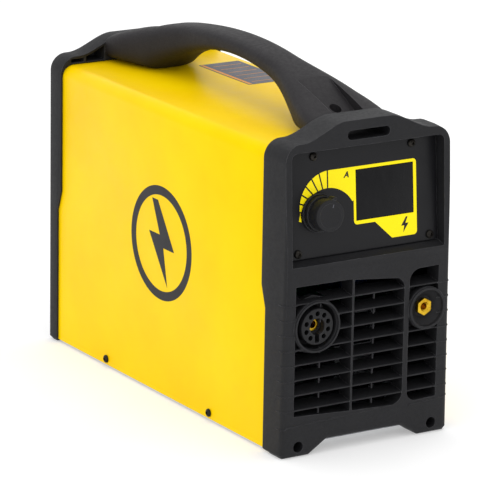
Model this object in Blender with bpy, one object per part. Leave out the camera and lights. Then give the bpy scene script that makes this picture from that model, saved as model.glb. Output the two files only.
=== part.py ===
"""Portable plasma cutting power source, modelled in metres with +Z up and the front facing -Y.

The origin is on the floor under the middle of the whole outline. Depths are measured backwards
from the plane of the front grille. Each object is one solid piece of the machine.
"""

import math

import bmesh
import bpy
from mathutils import Matrix, Vector

# ---------------------------------------------------------------- driving dimensions, in metres
gap = 0.0003                    # clearance between two pieces that touch
through = 0.002                 # how far a cutter runs past the face it opens

body_length = 0.3675            # front grille plane to rear rim
cover_half_width = 0.0760
cover_top = 0.2406
cover_foot = 0.0027             # lower edge of the cover above the floor
cover_sheet = 0.0012
cover_corner = 0.010

lip = 0.0015                    # thickness of a bezel's lip outside the cover
lip_low_depth = 0.0262          # front bezel's rear edge, low on the side
lip_high_depth = 0.0319         # front bezel's rear edge, high on the side
rear_lip_low = 0.0152           # the same two edges of the rear bezel, from its rear rim
rear_lip_high = 0.0212
lip_step_low = 0.116            # heights between which the lip's edge slopes
lip_step_high = 0.1335

shoulder_height = 0.2475
crown_height = 0.2608
shoulder_corner = 0.014
hump_outer = 0.062              # where the hump starts to rise from the shoulder
hump_inner = 0.020              # where it has reached the crown
foot_inner = 0.051
notch_half_width = 0.035
notch_height = 0.0103
foot_chamfer = 0.003
rim_round = 0.0045              # rounding of a bezel's outer rim
foot_top = 0.014
front_draft = 0.0026            # each side of the front face comes in by this at the shoulder
draft_depth = 0.0190            # and is back at full width at this depth

wall = 0.003                    # moulded wall of the bezels
grille_wall = 0.0160            # depth of the front grille and its blades
rear_grille_wall = 0.0105       # the same at the rear
socket_wall = 0.0070            # wall that the two sockets clamp on
boss_rim = 0.0006               # how far a socket's boss shows round its flange
nut_room = 0.0010               # space left around the sockets' lock nuts
face_bend_height = 0.145        # above this the front leans back
face_lean = 0.052               # depth gained for each unit of height above the bend

blade_pitch = 0.0121
blade_count = 8
lowest_blade = 0.0376           # lower front edge of the lowest blade
blade_thickness = 0.0012
blade_rise = 0.0027             # a blade's inner edge above its outer edge
blade_set_back = 0.0003         # outer edges of the blades behind the grille's face
grille_left = -0.0668
grille_right = 0.0654
thin_divider = (-0.0150, -0.0133)
thick_divider = (0.0336, 0.0380)
rear_grille_half_width = 0.0480
rear_divider = (0.0150, 0.0170)
rear_grille_low = 0.0270
rear_grille_high = 0.1350

fascia_tilt = math.atan(0.0798)
fascia_depth = 0.0110           # depth of the plate's middle
fascia_height = 0.1978          # height of the plate's middle
fascia_half_width = 0.0680
fascia_half_height = 0.0419
fascia_sheet = 0.0020
fascia_corner = 0.003
recess_half_width = 0.0700
recess_corner = 0.005
recess_floor = 0.0025
recess_mouth_low = 0.150        # height of the recess's lower lip
window_width = 0.0533
window_height = 0.0400
window_centre = (0.01975, 0.00196)
window_sheet = 0.0016
upper_screw = (0.0451, 0.0367)
lower_screw = (0.0608, -0.0372)
board_opening = (0.0560, 0.0310)

knob_centre = (-0.0416, -0.0072)
knob_length = 0.0180
knob_radius = 0.0125
knob_skirt_radius = 0.0154
knob_skirt_height = 0.0026
knob_collar_radius = 0.0140     # the step between the skirt and the grip
knob_collar_height = 0.0065
knob_pointer_angle = math.radians(20.0)     # clockwise from the top
shaft_radius = 0.0030
bush_radius = 0.0045
encoder_nut_height = 0.0020

slot_height = 0.2493
slot_length = 0.0390
slot_width = 0.0075

torch_place = (-0.0472, 0.1036)
torch_flange_radius = 0.0204
torch_body_radius = 0.0196
torch_bore_radius = 0.0182
torch_insert_radius = 0.0144
torch_insert_face = -0.0008     # just inside the collar's rim
torch_insert_mouth = 0.0068     # radius of the opening before the nipple
torch_key_half_width = 0.0022
torch_pin_circle = 0.0103
torch_pin_radius = 0.0021
torch_pin_count = 9
nipple_radius = 0.0052
nipple_bore = 0.0030
nipple_set_back = 0.0070        # nipple's end behind the insert's face
earth_place = (0.0547, 0.1039)
earth_flange_radius = 0.01665
earth_body_radius = 0.0158
earth_dish_radius = 0.0148
earth_hex = 0.0125              # across the flats
socket_proud = 0.0020
socket_length = 0.0200
lock_nut_height = 0.0050
lock_nut_rim = 0.0036

handle_crest = 0.2900
handle_crest_depth = 0.196
handle_front_drop = 0.0309      # fall of the top line from its crest to each end
handle_rear_drop = 0.0257
handle_arch_top = 0.2755
handle_arch_depth = 0.182
handle_arch_radius = 0.215
handle_grip_half_width = 0.0155
handle_end_half_width = 0.0360
handle_flare_front = 0.100      # length of each end's flare
handle_flare_rear = 0.105
handle_roundness = 3.4          # exponent of the cross-section's superellipse
ramp_half_width = 0.0144
ramp_length = 0.0548
ramp_slope = 0.508
strap_pocket = 0.0085           # space behind the front slot for the strap to come up
handle_screw_depth = 0.0524
handle_rear_screw = 0.0330      # from the rear rim
screw_bore_radius = 0.0048

cover_screw_depths = (0.1083, 0.2709)
cover_screw_height = 0.0076
foot_screw_side = 0.0620
foot_screw_height = 0.0087
foot_bore_radius = 0.0045
foot_bore_depth = 0.0120        # depth of the screw's seat in a front foot
rear_foot_bore_depth = 0.0055   # and in a rear foot, from the rear rim

screw_head_radius = 0.0033
screw_head_height = 0.0022
screw_shank = 0.0019

tray_sheet = 0.0012
tray_flange_height = 0.022
tray_depth = 0.0203             # where the tray and the cover start behind the front grille
rear_tray_depth = 0.0113        # and where they end, from the rear rim

rear_recess = 0.0100
rear_recess_half_width = 0.0640
rear_recess_low = 0.150
rear_recess_high = 0.232
switch_place = (0.0420, 0.1920)
switch_half_width = 0.0085
switch_half_height = 0.0096
switch_throw = math.radians(22.0)
gland_place = (-0.0440, 0.1920)
gland_thread_radius = 0.0090
gland_bore_radius = 0.0050
fitting_place = (-0.0040, 0.1880)
fitting_thread_radius = 0.0065
fitting_bore_radius = 0.0024
fitting_length = 0.0240         # how far the fitting stands out of the rear recess

fan_size = 0.092
fan_thickness = 0.025
fan_height = 0.0750
fan_bore_radius = 0.0440
fan_hub_radius = 0.0185
fan_blades = 7
fan_clearance = 0.0015

board_height = 0.0926           # underside of the main board
board_sheet = 0.0016
board_half_width = 0.0660
board_start = 0.060
board_end = 0.300
sink_start = 0.090
sink_end = 0.270
sink_fins = 9

# ---------------------------------------------------------------- worked out from those above
front_reach = knob_length * math.cos(fascia_tilt) + knob_radius * math.sin(fascia_tilt)
knob_front = fascia_depth + knob_centre[1] * math.sin(fascia_tilt) - front_reach
rear_floor = body_length - rear_recess
rear_most = rear_floor + fitting_length
front_y = -(knob_front + rear_most) / 2
bezel_half_width = cover_half_width + gap + lip


def at(depth):
    """World y of a depth behind the front grille plane."""
    return front_y + depth


# ---------------------------------------------------------------- materials
def principled(name, colour, roughness, metallic=0.0, alpha=1.0):
    material = bpy.data.materials.new(name)
    material.use_nodes = True
    shader = material.node_tree.nodes["Principled BSDF"]
    shader.inputs["Base Color"].default_value = (*colour, 1.0)
    shader.inputs["Roughness"].default_value = roughness
    shader.inputs["Metallic"].default_value = metallic
    shader.inputs["Alpha"].default_value = alpha
    material.diffuse_color = (*colour, 1.0)
    return material


def make_materials():
    return {
        "black_plastic": principled("black_plastic", (0.035, 0.035, 0.038), 0.55),
        "grip_plastic": principled("grip_plastic", (0.050, 0.048, 0.050), 0.60),
        "yellow_paint": principled("yellow_paint", (0.98, 0.72, 0.0), 0.32),
        "fascia_film": principled("fascia_film", (0.016, 0.016, 0.019), 0.40),
        "smoked_acrylic": principled("smoked_acrylic", (0.008, 0.008, 0.010), 0.10),
        "knob_plastic": principled("knob_plastic", (0.020, 0.020, 0.022), 0.45),
        "zinc_steel": principled("zinc_steel", (0.55, 0.56, 0.58), 0.38, 1.0),
        "black_screw": principled("black_screw", (0.03, 0.03, 0.032), 0.42, 0.8),
        "brass": principled("brass", (0.70, 0.48, 0.10), 0.28, 1.0),
        "nickel": principled("nickel", (0.62, 0.60, 0.56), 0.25, 1.0),
        "aluminium": principled("aluminium", (0.70, 0.71, 0.72), 0.40, 1.0),
        "circuit_board": principled("circuit_board", (0.02, 0.16, 0.07), 0.45),
        "ferrite": principled("ferrite", (0.06, 0.06, 0.065), 0.60),
        "copper_winding": principled("copper_winding", (0.55, 0.20, 0.07), 0.40, 0.6),
        "capacitor_sleeve": principled("capacitor_sleeve", (0.03, 0.05, 0.14), 0.35),
        "hose_rubber": principled("hose_rubber", (0.05, 0.10, 0.35), 0.55),
        "lead_rubber": principled("lead_rubber", (0.02, 0.02, 0.02), 0.60),
    }


# ---------------------------------------------------------------- building blocks
def clear_scene():
    for obj in list(bpy.data.objects):
        bpy.data.objects.remove(obj, do_unlink=True)


def add_object(name, bm, material=None, smooth=None):
    """Turn a bmesh into an object; smooth is the angle below which its edges are shaded round."""
    bmesh.ops.recalc_face_normals(bm, faces=bm.faces[:])
    mesh = bpy.data.meshes.new(name)
    bm.to_mesh(mesh)
    bm.free()
    if material:
        mesh.materials.append(material)
    if smooth:
        mesh.shade_smooth()
        mesh.set_sharp_from_angle(angle=math.radians(smooth))
    obj = bpy.data.objects.new(name, mesh)
    bpy.context.scene.collection.objects.link(obj)
    return obj


def shape(target, name, bm, operation, parent=None):
    """Cut a tool shape out of an object, or join it on, with a live Boolean."""
    tool = add_object(name, bm)
    tool.hide_render = True
    tool.display_type = "WIRE"
    tool.parent = parent
    modifier = target.modifiers.new(name, "BOOLEAN")
    modifier.operation = operation
    modifier.solver = "EXACT"
    modifier.object = tool
    return tool


def cut(target, name, bm, parent=None):
    return shape(target, name, bm, "DIFFERENCE", parent)


def join(target, name, bm, parent=None):
    return shape(target, name, bm, "UNION", parent)


axes_of = {"XZ": (0, 2, 1), "YZ": (1, 2, 0), "XY": (0, 1, 2)}


def prism(bm, outline, plane, low, high):
    """Extrude a closed outline, given in a plane, from low to high along the third axis."""
    first, second, third = axes_of[plane]
    corners = []
    for a, b in outline:
        place = [0.0, 0.0, 0.0]
        place[first], place[second], place[third] = a, b, low
        corners.append(bm.verts.new(place))
    face = bm.faces.new(corners)
    grown = bmesh.ops.extrude_face_region(bm, geom=[face])
    moved = [part for part in grown["geom"] if isinstance(part, bmesh.types.BMVert)]
    shift = Vector((0.0, 0.0, 0.0))
    shift[third] = high - low
    bmesh.ops.translate(bm, vec=shift, verts=moved)
    return moved


def box(bm, low, high):
    outline = [(low[0], low[1]), (high[0], low[1]), (high[0], high[1]), (low[0], high[1])]
    return prism(bm, outline, "XY", low[2], high[2])


def arc(centre, radius, start, end, steps):
    """Points of an arc, its angles in degrees, both ends included."""
    points = []
    for step in range(steps + 1):
        angle = math.radians(start + (end - start) * step / steps)
        points.append((centre[0] + radius * math.cos(angle), centre[1] + radius * math.sin(angle)))
    return points


def rounded_rectangle(centre, half_width, half_height, radius, steps=4):
    points = []
    for sx, sy, start in ((1, 1, 0), (-1, 1, 90), (-1, -1, 180), (1, -1, 270)):
        middle = (centre[0] + sx * (half_width - radius), centre[1] + sy * (half_height - radius))
        points += arc(middle, radius, start, start + 90, steps)
    return points


def polygon(centre, radius, sides, turn=0.0):
    return [
        (centre[0] + radius * math.cos(turn + math.tau * i / sides),
         centre[1] + radius * math.sin(turn + math.tau * i / sides))
        for i in range(sides)
    ]


def hexagon(centre, across_flats):
    return polygon(centre, across_flats / math.sqrt(3), 6)


def cylinder(bm, place, radius, low, high, plane="XZ", sides=32):
    """A round bar at a place in a plane, from low to high along the third axis."""
    return prism(bm, polygon(place, radius, sides), plane, low, high)


def turned(bm, profile, sides, matrix=None):
    """Turn a profile of (radius, height) points a full circle about the local Z axis."""
    verts = [bm.verts.new((radius, 0.0, height)) for radius, height in profile]
    edges = [bm.edges.new(pair) for pair in zip(verts, verts[1:])]
    if profile[0][0] > 0.0:
        edges.append(bm.edges.new((verts[-1], verts[0])))
    before = len(bm.verts) - len(verts)
    bmesh.ops.spin(
        bm, geom=verts + edges, cent=(0, 0, 0), axis=(0, 0, 1), dvec=(0, 0, 0),
        angle=math.tau, steps=sides, use_merge=True, use_normal_flip=False,
        use_duplicate=False,
    )
    bm.verts.ensure_lookup_table()
    made = bm.verts[before:]
    bmesh.ops.remove_doubles(bm, verts=made, dist=0.000005)
    if matrix:
        bm.verts.ensure_lookup_table()
        bmesh.ops.transform(bm, matrix=matrix, verts=bm.verts[before:])


def towards(direction, place=(0.0, 0.0, 0.0)):
    """Matrix that carries the local Z axis to a direction, and the origin to a place."""
    turn = Vector((0, 0, 1)).rotation_difference(Vector(direction)).to_matrix().to_4x4()
    return Matrix.Translation(Vector(place)) @ turn


backwards = (0.0, 1.0, 0.0)
forwards = (0.0, -1.0, 0.0)


# ---------------------------------------------------------------- the two bezels
def roof_height(x):
    """Height of a bezel's humped top at a distance from the middle."""
    run = (hump_outer - abs(x)) / (hump_outer - hump_inner)
    run = min(max(run, 0.0), 1.0)
    return shoulder_height + (crown_height - shoulder_height) * run * run * (3 - 2 * run)


def half_bezel_outline(inset=0.0, lowest=0.0):
    """Right half of a bezel's outline, from the notch up to the middle of the hump."""
    side = bezel_half_width - inset
    radius = shoulder_corner - inset
    top = shoulder_height - inset
    points = []
    if lowest > 0.0:
        points += [(side, lowest)]
    else:
        points += [(notch_half_width, notch_height), (foot_inner, 0.0)]
        points += [(side - foot_chamfer, 0.0), (side, foot_chamfer)]
    points += arc((side - radius, top - radius), radius, 0, 90, 4)
    steps = 7
    for step in range(1, steps + 1):
        x = hump_outer + (hump_inner - hump_outer) * step / steps
        points.append((x, roof_height(x) - inset))
    return points


def mirrored(points):
    """The points of a right half, then their mirror images in reverse, as a closed outline."""
    return points + [(-x, z) for x, z in reversed(points)]


def bezel_block(bm, rim_depth, edge_depth, draft=0.0):
    """The bezel's outer block between its rounded rim and its edge over the cover.

    With a draft the rim narrows towards its top, from a line that stays at full width.
    """
    rim = set(prism(bm, mirrored(half_bezel_outline()), "XZ", at(edge_depth), at(rim_depth)))
    if draft:
        bmesh.ops.bisect_plane(
            bm, geom=bm.verts[:] + bm.edges[:] + bm.faces[:], plane_co=(0.0, at(draft_depth), 0.0),
            plane_no=(0.0, 1.0, 0.0), clear_inner=False, clear_outer=False,
        )
        for vert in rim:
            share = min(vert.co.z / shoulder_height, 1.0)
            vert.co.x *= 1 - draft * share / bezel_half_width
    edges = [edge for edge in bm.edges if edge.verts[0] in rim and edge.verts[1] in rim]
    bmesh.ops.bevel(
        bm, geom=edges, offset=rim_round, offset_type="OFFSET", segments=2, profile=0.5,
        affect="EDGES", clamp_overlap=False, material=-1,
    )


def cover_outline(grow, foot):
    """The cover's outline grown by a clearance, closed across its foot."""
    side = cover_half_width + grow
    top = cover_top + grow
    radius = cover_corner + grow
    points = [(side, foot)] + arc((side - radius, top - radius), radius, 0, 90, 5)
    return mirrored(points)


def front_grille_fields():
    """Outlines of the grille's three openings, seen from the front."""
    left, right = grille_left, thin_divider[0]
    first = [(left, 0.0337), (right, 0.0308), (right, 0.1370), (left, 0.1370)]
    left, right = thin_divider[1], thick_divider[0]
    second = [(left, 0.0307), (right - 0.0090, 0.0290)]
    second += arc((right - 0.0090, 0.0380), 0.0090, -60, 0, 3)
    second += arc((right - 0.0090, 0.1222), 0.0090, 0, 84, 4)
    second += [(left, 0.1361)]
    left, right = thick_divider[1], grille_right
    third = arc((left + 0.0085, 0.0378), 0.0085, 180, 264, 3) + [(right, 0.0305), (right, 0.1375)]
    third += arc((left + 0.0100, 0.1268), 0.0100, 96, 180, 4)
    return first, second, third


def rear_grille_fields():
    low, high = rear_grille_low, rear_grille_high
    inner, outer = rear_divider
    edges = (-rear_grille_half_width, -outer, -inner, inner, outer, rear_grille_half_width)
    return [
        [(left, low), (right, low), (right, high), (left, high)]
        for left, right in zip(edges[::2], edges[1::2])
    ]


def grille_cutter(fields, face, inwards, depth):
    """Openings of a grille; inwards is +1 from the front and -1 from the rear."""
    bm = bmesh.new()
    for outline in fields:
        prism(bm, outline, "XZ", at(face - inwards * through), at(face + inwards * (depth + through)))
    return bm


def blades(face, inwards, depth, left, right):
    """The slats across a grille, each rising towards its inner edge."""
    bm = bmesh.new()
    outer = at(face + inwards * blade_set_back)
    inner = at(face + inwards * (depth - gap))
    for step in range(blade_count):
        low = lowest_blade + blade_pitch * step
        outline = [
            (outer, low), (outer, low + blade_thickness),
            (inner, low + blade_rise + blade_thickness), (inner, low + blade_rise),
        ]
        prism(bm, outline, "YZ", left - blade_thickness, right + blade_thickness)
    return bm


def strap_slot_cutter(low, high):
    bm = bmesh.new()
    outline = rounded_rectangle((0.0, slot_height), slot_length / 2, slot_width / 2,
                                slot_width / 2 - 0.0001, 4)
    prism(bm, outline, "XZ", at(low), at(high))
    return bm


def lip_trim_cutter(low_edge, high_edge):
    """Trims a bezel's lip back low on the side, with the sloping step in its edge."""
    bm = bmesh.new()
    side = bezel_half_width + through
    beyond = at(high_edge) + (through if high_edge > low_edge else -through)
    outline = [
        (at(low_edge), -through), (beyond, -through), (beyond, lip_step_high),
        (at(high_edge), lip_step_high), (at(low_edge), lip_step_low),
    ]
    prism(bm, outline, "YZ", -side, side)
    return bm


def foot_bore_cutter(rim_depth, inwards, seat):
    """Wide bores in the two feet, down to the screws' seats."""
    bm = bmesh.new()
    shoulder = rim_depth + inwards * seat
    for side in (-1, 1):
        place = (side * foot_screw_side, foot_screw_height)
        cylinder(bm, place, foot_bore_radius, at(rim_depth - inwards * through), at(shoulder), sides=14)
    return bm


def foot_hole_cutter(rim_depth, inwards, seat, flange):
    """Narrow holes from the screws' seats to the tray's flange."""
    bm = bmesh.new()
    for side in (-1, 1):
        place = (side * foot_screw_side, foot_screw_height)
        low = at(rim_depth + inwards * (seat - through / 2))
        high = at(rim_depth + inwards * (flange + through))
        cylinder(bm, place, screw_shank + gap, low, high, sides=10)
    return bm


def boss_block(place, radius, low, high):
    bm = bmesh.new()
    cylinder(bm, place, radius, at(low), at(high), sides=28)
    return bm


def make_front_bezel(materials, fascia):
    bm = bmesh.new()
    bezel_block(bm, 0.0, lip_high_depth, front_draft)
    bezel = add_object("front_bezel", bm, materials["black_plastic"], smooth=30)

    lean = bmesh.new()
    top = crown_height + 0.01
    outline = [
        (at(-through), face_bend_height - 0.03), (at(0.0) - 0.00001, face_bend_height),
        (at((top - face_bend_height) * face_lean), top), (at(-through), top),
    ]
    prism(lean, outline, "YZ", -bezel_half_width - through, bezel_half_width + through)
    cut(bezel, "front_lean_cutter", lean)

    cavity = bmesh.new()
    behind = fascia_depth + (fascia_sheet + gap + recess_floor) / math.cos(fascia_tilt)
    slope = math.tan(fascia_tilt)
    cavity_top = cover_top - wall
    outline = [
        (at(grille_wall), foot_top), (at(grille_wall), recess_mouth_low - wall - 0.006),
        (at(behind + (recess_mouth_low - fascia_height) * slope), recess_mouth_low - 0.001),
        (at(behind + (cavity_top - fascia_height) * slope), cavity_top),
        (at(lip_high_depth + through), cavity_top), (at(lip_high_depth + through), foot_top),
    ]
    inner = bezel_half_width - wall
    prism(cavity, outline, "YZ", -inner, inner)
    cut(bezel, "front_cavity_cutter", cavity)

    rebate = bmesh.new()
    prism(rebate, cover_outline(gap, -through), "XZ", at(tray_depth - gap), at(lip_high_depth + through))
    cut(bezel, "front_rebate_cutter", rebate)
    cut(bezel, "front_lip_cutter", lip_trim_cutter(lip_low_depth, lip_high_depth))
    cut(bezel, "front_grille_cutter", grille_cutter(front_grille_fields(), 0.0, 1, grille_wall))
    join(bezel, "front_blades", blades(0.0, 1, grille_wall, grille_left, grille_right))
    join(bezel, "torch_boss", boss_block(torch_place, torch_flange_radius + boss_rim, 0.0, socket_wall))
    join(bezel, "earth_boss", boss_block(earth_place, earth_flange_radius + boss_rim, 0.0, socket_wall))

    holes = bmesh.new()
    rooms = bmesh.new()
    for place, radius in ((torch_place, torch_body_radius), (earth_place, earth_body_radius)):
        cylinder(holes, place, radius + gap, at(-through), at(grille_wall + through), sides=28)
        room = radius + lock_nut_rim + nut_room
        cylinder(rooms, place, room, at(socket_wall), at(grille_wall + through), sides=28)
    cut(bezel, "socket_hole_cutter", holes)
    cut(bezel, "nut_room_cutter", rooms)

    recess = bmesh.new()
    outline = rounded_rectangle((0.0, 0.0), recess_half_width, fascia_half_height + gap, recess_corner)
    prism(recess, outline, "XZ", -0.030, fascia_sheet + gap)
    cut(bezel, "recess_cutter", recess, fascia)

    ledge = bmesh.new()
    mouth = recess_mouth_low - fascia_height
    outline = [
        (fascia_sheet + gap, -fascia_half_height - gap), (-fascia_depth, mouth),
        (-0.030, mouth), (-0.030, 0.0), (fascia_sheet + gap, 0.0),
    ]
    side = recess_half_width
    prism(ledge, outline, "YZ", -side, side)
    cut(bezel, "ledge_cutter", ledge, fascia)

    opening = bmesh.new()
    prism(opening, rounded_rectangle((0.0, 0.0), *board_opening, recess_corner), "XZ", 0.0, 0.020)
    for x, z in fascia_screw_places():
        cylinder(opening, (x, z), screw_shank + gap, 0.0, 0.020, sides=10)
    cut(bezel, "fascia_opening_cutter", opening, fascia)

    cut(bezel, "front_slot_cutter", strap_slot_cutter(-through, lip_high_depth + through))
    cut(bezel, "front_foot_bores", foot_bore_cutter(0.0, 1, foot_bore_depth))
    cut(bezel, "front_foot_holes", foot_hole_cutter(0.0, 1, foot_bore_depth, tray_depth))
    return bezel


def make_rear_bezel(materials):
    edge = body_length - rear_lip_high
    bm = bmesh.new()
    bezel_block(bm, body_length, edge)
    bezel = add_object("rear_bezel", bm, materials["black_plastic"], smooth=30)

    cavity = bmesh.new()
    inner = bezel_half_width - wall
    outline = [
        (at(body_length - rear_grille_wall), foot_top),
        (at(body_length - rear_grille_wall), rear_recess_low - wall - 0.006),
        (at(rear_floor - wall), rear_recess_low - 0.001),
        (at(rear_floor - wall), cover_top - wall),
        (at(edge - through), cover_top - wall), (at(edge - through), foot_top),
    ]
    prism(cavity, outline, "YZ", -inner, inner)
    cut(bezel, "rear_cavity_cutter", cavity)

    rebate = bmesh.new()
    prism(rebate, cover_outline(gap, -through), "XZ", at(edge - through),
          at(body_length - rear_tray_depth + gap))
    cut(bezel, "rear_rebate_cutter", rebate)
    low_edge = body_length - rear_lip_low
    cut(bezel, "rear_lip_cutter", lip_trim_cutter(low_edge, edge))
    cut(bezel, "rear_grille_cutter", grille_cutter(rear_grille_fields(), body_length, -1, rear_grille_wall))
    slats = blades(body_length, -1, rear_grille_wall, -rear_grille_half_width, rear_grille_half_width)
    join(bezel, "rear_blades", slats)

    hood = bmesh.new()
    rib = 0.0550
    for low, high in ((handle_end_half_width + gap, rib - 0.001), (rib + 0.001, bezel_half_width - 0.0095)):
        xs = [low + (high - low) * step / 3 for step in range(4)]
        for side in (-1, 1):
            outline = [(side * x, roof_height(x) - 0.0022) for x in xs]
            outline += [(side * high, cover_top + 0.0015), (side * low, cover_top + 0.0015)]
            prism(hood, outline, "XZ", at(edge - through), at(body_length - wall))
    cut(bezel, "hood_cutter", hood)

    recess = bmesh.new()
    middle = (rear_recess_low + rear_recess_high) / 2
    outline = rounded_rectangle((0.0, middle), rear_recess_half_width,
                                (rear_recess_high - rear_recess_low) / 2, recess_corner)
    prism(recess, outline, "XZ", at(rear_floor), at(body_length + through))
    cut(bezel, "rear_recess_cutter", recess)

    holes = bmesh.new()
    low, high = at(rear_floor - wall - through), at(rear_floor + through / 2)
    cylinder(holes, gland_place, gland_thread_radius + gap, low, high)
    cylinder(holes, fitting_place, fitting_thread_radius + gap, low, high)
    outline = rounded_rectangle(switch_place, switch_half_width + 0.0025,
                                switch_half_height + 0.0035, 0.0005, 1)
    prism(holes, outline, "XZ", low, high)
    cut(bezel, "rear_hole_cutter", holes)

    cut(bezel, "rear_slot_cutter", strap_slot_cutter(edge - through, body_length + through))
    cut(bezel, "rear_foot_bores", foot_bore_cutter(body_length, -1, rear_foot_bore_depth))
    holes = foot_hole_cutter(body_length, -1, rear_foot_bore_depth, rear_tray_depth)
    cut(bezel, "rear_foot_holes", holes)
    return bezel


# ---------------------------------------------------------------- cover, tray and brackets
def half_sheet_outline(grow):
    side = cover_half_width + grow
    top = cover_top + grow
    radius = cover_corner + grow
    return [(side, cover_foot)] + arc((side - radius, top - radius), radius, 0, 90, 6)


def inner_path(inner):
    """The inside of a bent sheet, walked back from its left foot to its right foot."""
    return [(-x, z) for x, z in inner] + list(reversed(inner))


def make_side_cover(materials):
    outer = half_sheet_outline(0.0)
    inner = half_sheet_outline(-cover_sheet)
    outline = outer + [(-x, z) for x, z in reversed(outer)]
    outline += inner_path(inner)
    bm = bmesh.new()
    prism(bm, outline, "XZ", at(tray_depth), at(body_length - rear_tray_depth))
    cover = add_object("side_cover", bm, materials["yellow_paint"], smooth=25)
    holes = bmesh.new()
    for depth in cover_screw_depths:
        for side in (-1, 1):
            ends = sorted((side * (cover_half_width - 0.004), side * (cover_half_width + through)))
            cylinder(holes, (at(depth), cover_screw_height), screw_shank + gap, *ends, plane="YZ", sides=10)
    for depth in (handle_screw_depth, body_length - handle_rear_screw):
        cylinder(holes, (0.0, at(depth)), screw_shank + 2 * gap, cover_top - 0.004, cover_top + through,
                 plane="XY", sides=10)
    cut(cover, "cover_hole_cutter", holes)
    return cover


def make_base_tray(materials):
    """Bent steel tray with side flanges for the cover and end flanges for the bezels."""
    side = cover_half_width - cover_sheet - gap
    low, high = at(tray_depth), at(body_length - rear_tray_depth)
    floor_low = cover_foot + gap
    top = floor_low + tray_flange_height
    bm = bmesh.new()
    box(bm, (-side, low, floor_low), (side, high, top))
    tray = add_object("base_tray", bm, materials["zinc_steel"])
    inside = bmesh.new()
    box(inside, (-side + tray_sheet, low + tray_sheet, floor_low + tray_sheet),
        (side - tray_sheet, high - tray_sheet, top + through))
    cut(tray, "tray_inside_cutter", inside)
    notches = bmesh.new()
    for start, end in ((low - through, low + 0.004), (high - 0.004, high + through)):
        box(notches, (-0.050, start, floor_low + 0.006), (0.050, end, top + through))
    cut(tray, "tray_end_cutter", notches)
    holes = bmesh.new()
    for sx in (-1, 1):
        for start, end in ((low - through, low + 0.004), (high - 0.004, high + through)):
            place = (sx * foot_screw_side, foot_screw_height)
            cylinder(holes, place, screw_shank + gap, start, end, sides=10)
        for depth in cover_screw_depths:
            ends = sorted((sx * (side - 0.004), sx * (side + through)))
            cylinder(holes, (at(depth), cover_screw_height), screw_shank + gap, *ends, plane="YZ", sides=10)
    cut(tray, "tray_hole_cutter", holes)
    return tray


def make_handle_plates(materials):
    """Threaded plates under the cover that the handle's screws pull against."""
    top = cover_top - cover_sheet - gap
    places = {"handle_plate_front": handle_screw_depth, "handle_plate_rear": body_length - handle_rear_screw}
    for name, depth in places.items():
        bm = bmesh.new()
        box(bm, (-0.024, at(depth - 0.008), top - 0.004), (0.024, at(depth + 0.008), top))
        plate = add_object(name, bm, materials["zinc_steel"])
        hole = bmesh.new()
        cylinder(hole, (0.0, at(depth)), screw_shank + gap, top - 0.006, top + through, plane="XY", sides=10)
        cut(plate, name + "_hole", hole)


# ---------------------------------------------------------------- carrying handle
def blend_in(value):
    value = min(max(value, 0.0), 1.0)
    return value * value * (3 - 2 * value)


def handle_half_width(depth):
    front = 1 - blend_in((depth - handle_front()) / handle_flare_front)
    rear = 1 - blend_in((handle_rear() - depth) / handle_flare_rear)
    return handle_grip_half_width + (handle_end_half_width - handle_grip_half_width) * max(front, rear)


def handle_front():
    return lip_high_depth + gap


def handle_rear():
    return body_length - rear_lip_high - gap


def arch(depth, crest, middle, radius):
    run = depth - middle
    return crest - (radius - math.sqrt(radius * radius - run * run))


def handle_top(depth):
    """Two arcs that meet level at the crest, one down to each end."""
    if depth < handle_crest_depth:
        run, drop = handle_crest_depth - handle_front(), handle_front_drop
    else:
        run, drop = handle_rear() - handle_crest_depth, handle_rear_drop
    return arch(depth, handle_crest, handle_crest_depth, (run * run + drop * drop) / (2 * drop))


def handle_bottom(depth):
    run = min(abs(depth - handle_arch_depth), handle_arch_radius * 0.95)
    height = arch(handle_arch_depth + run, handle_arch_top, handle_arch_depth, handle_arch_radius)
    return max(height, cover_top + gap)


def handle_section(bm, depth, points=16):
    """One closed cross-section of the handle, a superellipse."""
    half_width = handle_half_width(depth)
    low, high = handle_bottom(depth), handle_top(depth)
    middle, half_height = (low + high) / 2, (high - low) / 2
    ring = []
    for step in range(points):
        angle = math.tau * (step + 0.5) / points
        c, s = math.cos(angle), math.sin(angle)
        x = half_width * math.copysign(abs(c) ** (2 / handle_roundness), c)
        z = half_height * math.copysign(abs(s) ** (2 / handle_roundness), s)
        ring.append(bm.verts.new((x, at(depth), middle + z)))
    return [bm.edges.new((ring[i], ring[(i + 1) % points])) for i in range(points)]


def make_handle(materials):
    bm = bmesh.new()
    sections = 24
    front, rear = handle_front(), handle_rear()
    loops = [handle_section(bm, front + (rear - front) * step / sections) for step in range(sections + 1)]
    for first, second in zip(loops, loops[1:]):
        bmesh.ops.bridge_loops(bm, edges=first + second)
    for loop in (loops[0], loops[-1]):
        bmesh.ops.contextual_create(bm, geom=loop)
    handle = add_object("carry_handle", bm, materials["grip_plastic"], smooth=40)

    ramps = bmesh.new()
    for end, inwards in ((front, 1), (rear, -1)):
        prism(ramps, ramp_outline(end, inwards), "YZ", -ramp_half_width, ramp_half_width)
    cut(handle, "handle_ramp_cutter", ramps)

    seats = bmesh.new()
    holes = bmesh.new()
    for depth, seat in handle_screw_seats():
        place, open_top = (0.0, at(depth)), handle_top(depth) + 2 * through
        cylinder(seats, place, screw_bore_radius, seat, open_top, plane="XY", sides=14)
        ends = (cover_top - through, seat + through / 2)
        cylinder(holes, place, screw_shank + gap, *ends, plane="XY", sides=10)
    cut(handle, "handle_seat_cutter", seats)
    cut(handle, "handle_hole_cutter", holes)
    return handle


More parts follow.
